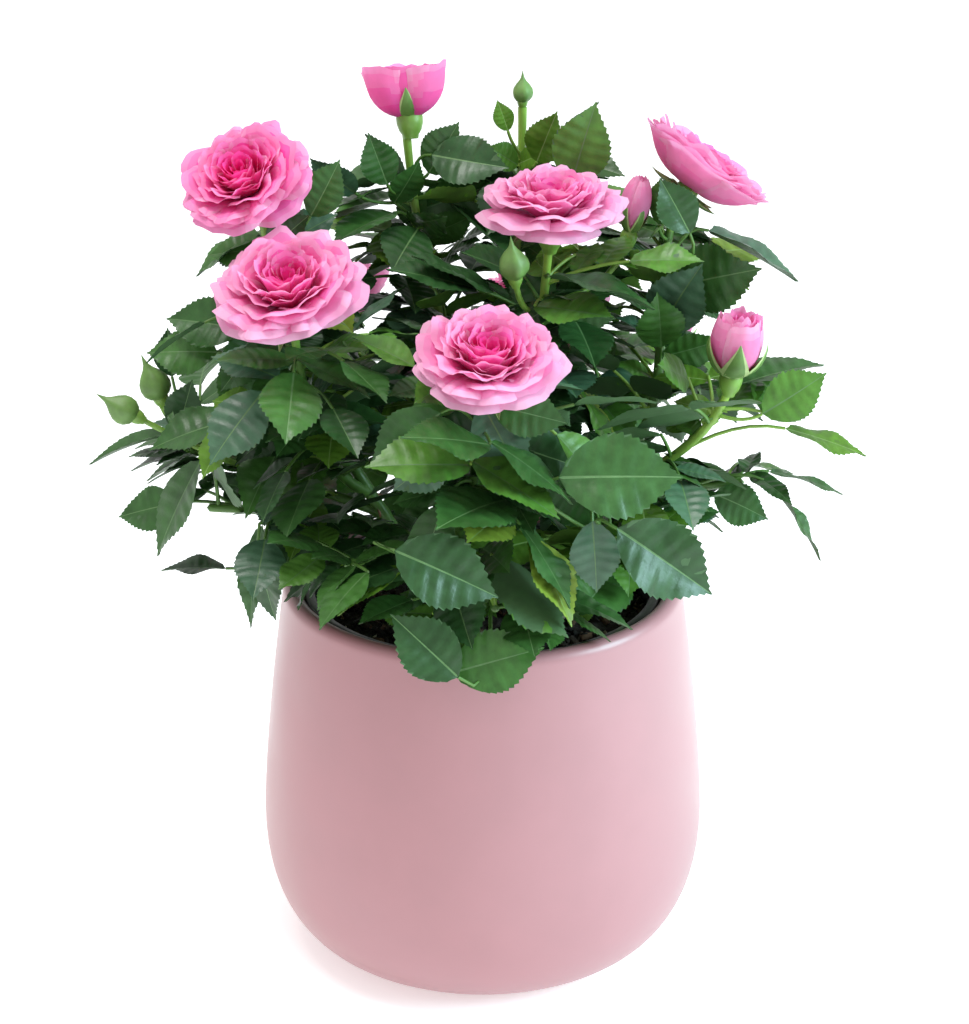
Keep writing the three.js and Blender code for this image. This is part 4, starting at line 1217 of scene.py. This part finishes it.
def add_hip(mesh, radius, place, face):
    """The round hip under a flower, on its stalk."""
    points, faces = lathe(HIP_PROFILE * radius, 14)
    mesh.add(faced(points, place, face), faces, HIP)


def add_green_bud(calyx, size, place, face):
    """A closed bud: five sepals that hold together to a drawn-out tip."""
    sides = 20
    points, faces = lathe(GREEN_BUD_PROFILE * size, sides)
    ridge = 1 + 0.07 * np.cos(np.arange(sides) * 2 * math.pi * 5 / sides)
    points[:, :2] *= np.tile(ridge, len(GREEN_BUD_PROFILE))[:, None]
    calyx.add(faced(points, place, face), faces, SEPAL)


def add_flower(petals, calyx, kind, size, place, face, roll_dice, shade):
    """A flower or bud of one of the kinds, or else a green bud."""
    if kind in FLOWERS:
        rings, sepals, hip = FLOWERS[kind]
        add_petals(petals, *rings, size, place, face, roll_dice, shade)
        add_sepals(calyx, *sepals, size, place, face, roll_dice)
    else:
        hip = GREEN_BUD_HIP
        add_green_bud(calyx, size, place, face)
    add_hip(calyx, size * hip, place, face)


# ---- the bush

# By shoot: how young its sprays are, and its flower's shade, scale, small shift and face beside the source's.
YOUNG = {"crest": 0.4, "top": 0.1, "low_front": 0.25, "low_front_right": 0.2}
SHADES = {
    "upper_left": -0.14, "middle_left": -0.02, "front": 0.03, "centre": 0.06, "top": 0.02,
    "upper_right": -0.05,
}  # fmt: skip
SWELL = {
    "crest": 0.85, "upper_left": 0.96, "middle_left": 0.93, "upper_right": 0.96, "front": 1.02,
    "centre": 0.96,
}  # fmt: skip
NUDGE = {
    "crest": (0, 0, 2), "top": (1.2, 0, 2.6), "upper_left": (-1, 0, 2.6), "middle_left": (1.4, 0, 0.2),
    "front": (0.4, 0, 0.8), "upper_right": (-0.6, 0, -0.2), "centre": (0.4, 0, 0.6), "far_left": (-1, 0, 3.2),
}  # fmt: skip
FACES = {
    "upper_left": (-0.25, -0.58, 0.775), "middle_left": (-0.12, -0.42, 0.9), "front": (0.05, -0.38, 0.92),
    "centre": (0.05, -0.11, 0.99), "top": (-0.08, 0.25, 0.96),
}  # fmt: skip
BOWLS = ("upper_right", "back_left")
FRESH_STEMS = ("crest", "far_right", "centre", "top")
PALE_BUD = 20
STEM_RINGS, STALK_RINGS, BUD_STALK_RINGS, BOUGH_RINGS, CANE_RINGS = 14, 6, 8, 12, 40
CANE_FOOT_RINGS = 12
PRICKLES, PRICKLE = 7, {"out": 2.6, "down": 0.9, "above": 1.5, "below": 1.3, "aside": 0.5}


def dress_shoot(name, index, sprays):
    """A shoot's leafy stem, sprays, side buds and flower."""
    _, _, tip, face, flower, size, _ = SHOOTS[name]
    plan, roll_dice = PLANS[name], dice("shoot", index)
    path, leaves, twigs, petals, calyx = plan["path"], Mesh(), Mesh(), Mesh(), Mesh()
    bumps = 1 + 0.06 * np.sin(np.arange(STEM_RINGS + 1) * 2.1)
    radii = mix(*STEM, np.linspace(0, 1, STEM_RINGS + 1)) * bumps
    rings = rings_along(path, plan["bough_end"], plan["stem_end"], STEM_RINGS)
    tube(twigs, rings, radii, 9, STEM_FRESH if name in FRESH_STEMS else STEM_GREEN, plan["blind"])
    for one in sprays:
        kept = [leaflet for leaflet in one["leaflets"] if "aimed" in one or not in_gap(leaflet)]
        if kept and one.get("wide", 1):
            add_spray(leaves, twigs, {**one, "leaflets": kept}, roll_dice, YOUNG.get(name, 0.05))
    for bud in SIDE_BUDS:
        shoot, _, bud_tip, bud_face, height = bud
        if shoot == name:
            rings = rings_along(bud_stalk(bud), 0, 1, BUD_STALK_RINGS)
            tube(calyx, rings, np.full(BUD_STALK_RINGS + 1, STALK[0] * 0.75), 8, HIP)
            kind = "pale" if height == PALE_BUD else "green"
            add_flower(petals, calyx, kind, height, bud_tip, bud_face, roll_dice, 0)
    if flower:
        rings = rings_along(path, plan["stem_end"], 1, STALK_RINGS)
        radii = mix(*STALK, np.linspace(0, 1, STALK_RINGS + 1))
        tube(calyx, rings, radii, 10, STALK_FRESH if name in FRESH_STEMS else HIP)
        kind, size = "bowl" if name in BOWLS else flower, size * SWELL.get(name, 1)
        place = np.array(tip) + np.array(NUDGE.get(name, (0, 0, 0)))
        add_flower(petals, calyx, kind, size, place, FACES.get(name, face), roll_dice, SHADES.get(name, 0))
    replaced = [f"flower_{name}"] if flower else []
    piece(f"leaves_{name}", leaves, LEAF_MATERIALS, [f"foliage_{name}"])
    piece(f"twigs_{name}", twigs, STEM_MATERIALS)
    if petals.points:
        piece(f"petals_{name}", petals, PETAL_MATERIALS, replaced)
    if calyx.points:
        piece(f"calyx_{name}", calyx, CALYX_MATERIALS, [] if petals.points else replaced)


def add_prickle(mesh, ring, above, radius, way):
    """A hooked prickle on a cane."""
    middle, across, other = ring
    out, along = across * math.cos(way) + other * math.sin(way), unit(above[0] - middle)
    foot, aside = middle + out * radius * 0.9, cross(out, along) * PRICKLE["aside"]
    tip = foot + out * PRICKLE["out"] - along * PRICKLE["down"]
    base = [foot + along * PRICKLE["above"], foot + aside, foot - along * PRICKLE["below"], foot - aside, tip]
    mesh.add(base, [(0, 1, 4), (1, 2, 4), (2, 3, 4), (3, 0, 4)], STEM_PRICKLE)


def dress_cane(name, index):
    """A main stem with its woody foot and prickles, and the boughs that leave it."""
    mesh, roll_dice = Mesh(), dice("cane", index)
    share = np.linspace(0, 1, CANE_RINGS + 1)
    radii = mix(CANE["foot"], CANE["tip"], share) + CANE["flare"] * np.exp(-share * 16)
    radii = radii * (1 + 0.05 * np.sin(share * 31 + index) + 0.03 * np.sin(share * 77))
    rings = rings_along(cane_path(name), 0, 1, CANE_RINGS)
    tube(mesh, rings[: CANE_FOOT_RINGS + 1], radii[: CANE_FOOT_RINGS + 1], 14, STEM_OLD)
    tube(mesh, rings[CANE_FOOT_RINGS:], radii[CANE_FOOT_RINGS:], 14, STEM_GREEN, True)
    for _ in range(PRICKLES):
        at, way = roll_dice(0.1, 0.95), roll_dice(0, 6.28)
        i = int(at * CANE_RINGS)
        add_prickle(mesh, rings[i], rings[i + 1], radii[i], way)
    replaced = [f"cane_{name}"]
    for shoot, (cane, *_) in SHOOTS.items():
        if cane == name:
            plan = PLANS[shoot]
            end = STEM[0] if plan["blind"] else BOUGH[1]
            swell = mix(BOUGH[0], end, np.linspace(0, 1, BOUGH_RINGS + 1))
            swell = swell * (1 + 0.05 * np.sin(np.arange(BOUGH_RINGS + 1) * 1.7))
            tube(mesh, rings_along(plan["path"], 0, plan["bough_end"], BOUGH_RINGS), swell, 10, STEM_GREEN)
            if not plan["blind"]:
                replaced.append(f"bough_{shoot}")
    piece(f"canes_{name}", mesh, STEM_MATERIALS, replaced)


crowd = Crowd()
foliage = {name: grow_foliage(name, index) for index, name in enumerate(SHOOTS)}
for sprays in foliage.values():
    stand(crowd, sprays)
for index, name in enumerate(SHOOTS):
    foliage[name] += fill_foliage(name, index, crowd)
for index, name in enumerate(SHOOTS):
    dress_shoot(name, index, foliage[name])
for index, name in enumerate(CANES):
    dress_cane(name, index)

# ---- pot, liner and compost


ROUND_SIDES = 144


def pot_profile():
    """The glazed pot's outline, from its underside over the rim and down to its floor inside."""
    shoulder = POT["height"] - POT["rim_round"]
    below = POT["belly_height"] * np.linspace(0, 1, 18) ** 2.2
    above = mix(POT["belly_height"], shoulder, np.linspace(0, 1, 16)[1:])
    outer = [(float(pot_radius(h)), h) for h in (*below, *above)]
    middle, half = (POT["rim"] + POT["mouth"]) / 2, (POT["rim"] - POT["mouth"]) / 2
    rim = [
        (middle + half * math.cos(a), shoulder + POT["rim_round"] * math.sin(a))
        for a in np.linspace(0, math.pi, 13)[1:-1]
    ]
    inside = [(float(pot_radius(h)) - half * 2, h) for h in np.linspace(shoulder, POT["floor"], 14)]
    return [(0.01, 0), (POT["foot"] - 1.2, 0), *outer, *rim, *inside, (0.01, POT["floor"])]


pot_mesh = Mesh()
pot_mesh.add(*lathe(pot_profile(), ROUND_SIDES))
GLAZE = surface(
    "glaze_pink", (0.426, 0.196, 0.218), 0.42, 0.03, 45, 0.12, 0.0003,
    Coat_Weight=0.4, Coat_Roughness=0.3, Specular_IOR_Level=0.5,
)  # fmt: skip
piece("pot_glazed", pot_mesh, [GLAZE], ["pot"])


def liner_radius(height):
    """The liner's outer radius under its lip."""
    share = (height - LINER["bottom"]) / (LINER["top"] - LINER["bottom"])
    return mix(LINER["bottom_radius"], LINER["top_radius"] - LINER["lip"], share)


def liner_profile():
    """The nursery liner's outline, with a rolled lip."""
    low, top, wall, lip = LINER["bottom"], LINER["top"], LINER["wall"], LINER["top_radius"]
    foot = low + wall
    outside = [(0.01, low), (LINER["bottom_radius"], low)]
    outside += [(liner_radius(height), height) for height in (60, top - 3)]
    edge = [(lip - 0.3, top - 2.6), (lip, top - 2), (lip, top - 0.9)]
    edge += [(lip - 0.35, top - 0.25), (lip - 1, top)]
    inner = [(liner_radius(top) - wall + 0.5, top), (liner_radius(top) - wall, top - 0.5)]
    inside = [(liner_radius(110) - wall, 110), (liner_radius(foot) - wall, foot), (0.01, foot)]
    return outside + edge + inner + inside


liner_mesh = Mesh()
liner_mesh.add(*lathe(liner_profile(), ROUND_SIDES))
PLASTIC = surface("plastic_black", (0.012, 0.013, 0.015), 0.34, 0.2, 200, 0.2, 0.0002)
piece("liner_plastic", liner_mesh, [PLASTIC], ["liner"])


def compost_mesh():
    """The compost: a lumpy top over a plain plug."""
    made = Mesh()
    inset = LINER["wall"] + GAP * 2
    edge_height = COMPOST["top"] - COMPOST["mound"]
    edge = liner_radius(edge_height) - inset
    rows, sides = 44, 150
    points = []
    for radius in edge * np.linspace(0.002, 1, rows):
        slope = max(0, (radius - COMPOST["flat"]) / (edge - COMPOST["flat"]))
        level = mix(COMPOST["top"], edge_height, slope) - 0.5
        for angle in np.arange(sides) * 2 * math.pi / sides:
            x, y = radius * math.cos(angle), radius * math.sin(angle)
            points.append((x, y, level + noise.fractal((x * 0.16, y * 0.16, 3.1), 0.7, 2.1, 5) * 1.5))
    made.add(points, grid_faces(rows, sides, True)[:, ::-1])
    bottom = LINER["bottom"] + LINER["wall"] + GAP
    made.add(*lathe([(edge, edge_height - 2), (liner_radius(bottom) - inset, bottom), (0.01, bottom)], 60))
    return made


CRUMBS, GRIT = 900, 3


def crumbs():
    """Loose bits on the compost: crumbs, bark chips and pale grit."""
    made, roll_dice = Mesh(), dice("crumbs")
    box = np.array([(x, y, z) for x in (-1, 1) for y in (-1, 1) for z in (-1, 1)], float)
    faces = [(0, 1, 3, 2), (4, 6, 7, 5), (0, 4, 5, 1), (2, 3, 7, 6), (0, 2, 6, 4), (1, 5, 7, 3)]
    for _ in range(CRUMBS):
        radius, angle = COMPOST["reach"] * math.sqrt(roll_dice()), roll_dice(0, 2 * math.pi)
        kind = int(roll_dice() ** 2 * 3.99)
        big = roll_dice(0.5, 1.4) * (0.55 if kind == GRIT else 1)
        shape = np.array((roll_dice(0.6, 2.4), roll_dice(0.5, 1.2), roll_dice(0.3, 0.8))) * big
        jitter = np.array([[roll_dice(0.6, 1.3) for _ in range(3)] for _ in range(8)])
        face = (roll_dice(-1, 1), roll_dice(-1, 1), roll_dice(0.4, 1.5))
        spin = roll_dice(0, 2 * math.pi)
        x, y, z = (box * jitter * shape).T
        c, s = math.cos(spin), math.sin(spin)
        place = (radius * math.cos(angle), radius * math.sin(angle), COMPOST["top"] + roll_dice(-0.6, 0.8))
        made.add(faced(np.stack([x * c - y * s, x * s + y * c, z], -1), place, face), faces, kind)
    return made


SOIL = [
    surface("soil_dark", (0.018, 0.012, 0.008), 0.95, 0.5, 120, 0.9, 0.0015),
    surface("soil_brown", (0.045, 0.026, 0.014), 0.9, 0.4, 160, 0.9, 0.0008),
    surface("soil_bark", (0.11, 0.055, 0.025), 0.85, 0.4, 160, 0.9, 0.0006),
    surface("soil_grit", (0.34, 0.27, 0.18), 0.8, 0.3, 200, 0.8, 0.0005),
]
piece("compost_top", compost_mesh(), SOIL[:1], ["compost"])
piece("compost_crumbs", crumbs(), SOIL)

# ---- stage, lights and camera


def stand_in_scene(name, data):
    made = bpy.data.objects.new(name, data)
    bpy.context.scene.collection.objects.link(made)
    return made


def area_light(name, place, aim, size, power, colour):
    """A round soft light at a place, turned to what it aims at."""
    light = bpy.data.lights.new(name, "AREA")
    light.shape, light.size, light.energy, light.color = "DISK", size, power, colour
    made = stand_in_scene(name, light)
    made.location = place
    x, y, z = np.array(place, float) - np.array(aim, float)
    made.rotation_euler = (math.atan2(math.hypot(x, y), z), 0, math.atan2(y, x) + math.pi / 2)


def add_floor():
    """A wide pale floor just under the pot, bright enough to melt into the background."""
    data = bpy.data.meshes.new("floor")
    points, faces = lathe([(0.0001, 0), (0.3, 0), (1, 0), (3, 0), (12, 0)], 64)
    data.from_pydata((points - np.array((0, 0, 0.0002))).tolist(), [], faces.tolist())
    glow = {"Emission_Color": (1, 1, 1, 1), "Emission_Strength": 0.45}
    data.materials.append(surface("floor_pale", (0.88, 0.88, 0.88), 0.85, 0.01, 6, 0.05, 0.0005, **glow))
    stand_in_scene("floor", data)


def set_world(strength):
    world = bpy.data.worlds.new("studio")
    world.use_nodes = True
    backdrop = world.node_tree.nodes["Background"]
    backdrop.inputs["Color"].default_value, backdrop.inputs["Strength"].default_value = (1, 1, 1, 1), strength
    bpy.context.scene.world = world


# The camera where the photo's was, as the ellipses of the pot's rim and foot give it.
CAMERA = {"sensor": 36, "lens": 95.34, "place": (0.0006, -0.83697, 0.48387), "tilt": 68.43}


def add_camera():
    data = bpy.data.cameras.new("camera")
    data.sensor_width, data.lens = CAMERA["sensor"], CAMERA["lens"]
    made = stand_in_scene("camera", data)
    made.location, made.rotation_euler = CAMERA["place"], (math.radians(CAMERA["tilt"]), 0, 0)
    bpy.context.scene.camera = made


add_floor()
set_world(0.72)
area_light("side", (1.3, -0.35, 0.7), (0, 0, 0.12), 0.8, 24, (0.60, 0.93, 1))
area_light("top", (-0.25, -0.1, 1.5), (0, 0, 0.2), 0.7, 14, (1, 0.99, 0.97))
add_camera()
bpy.context.scene.view_settings.view_transform = "Standard"
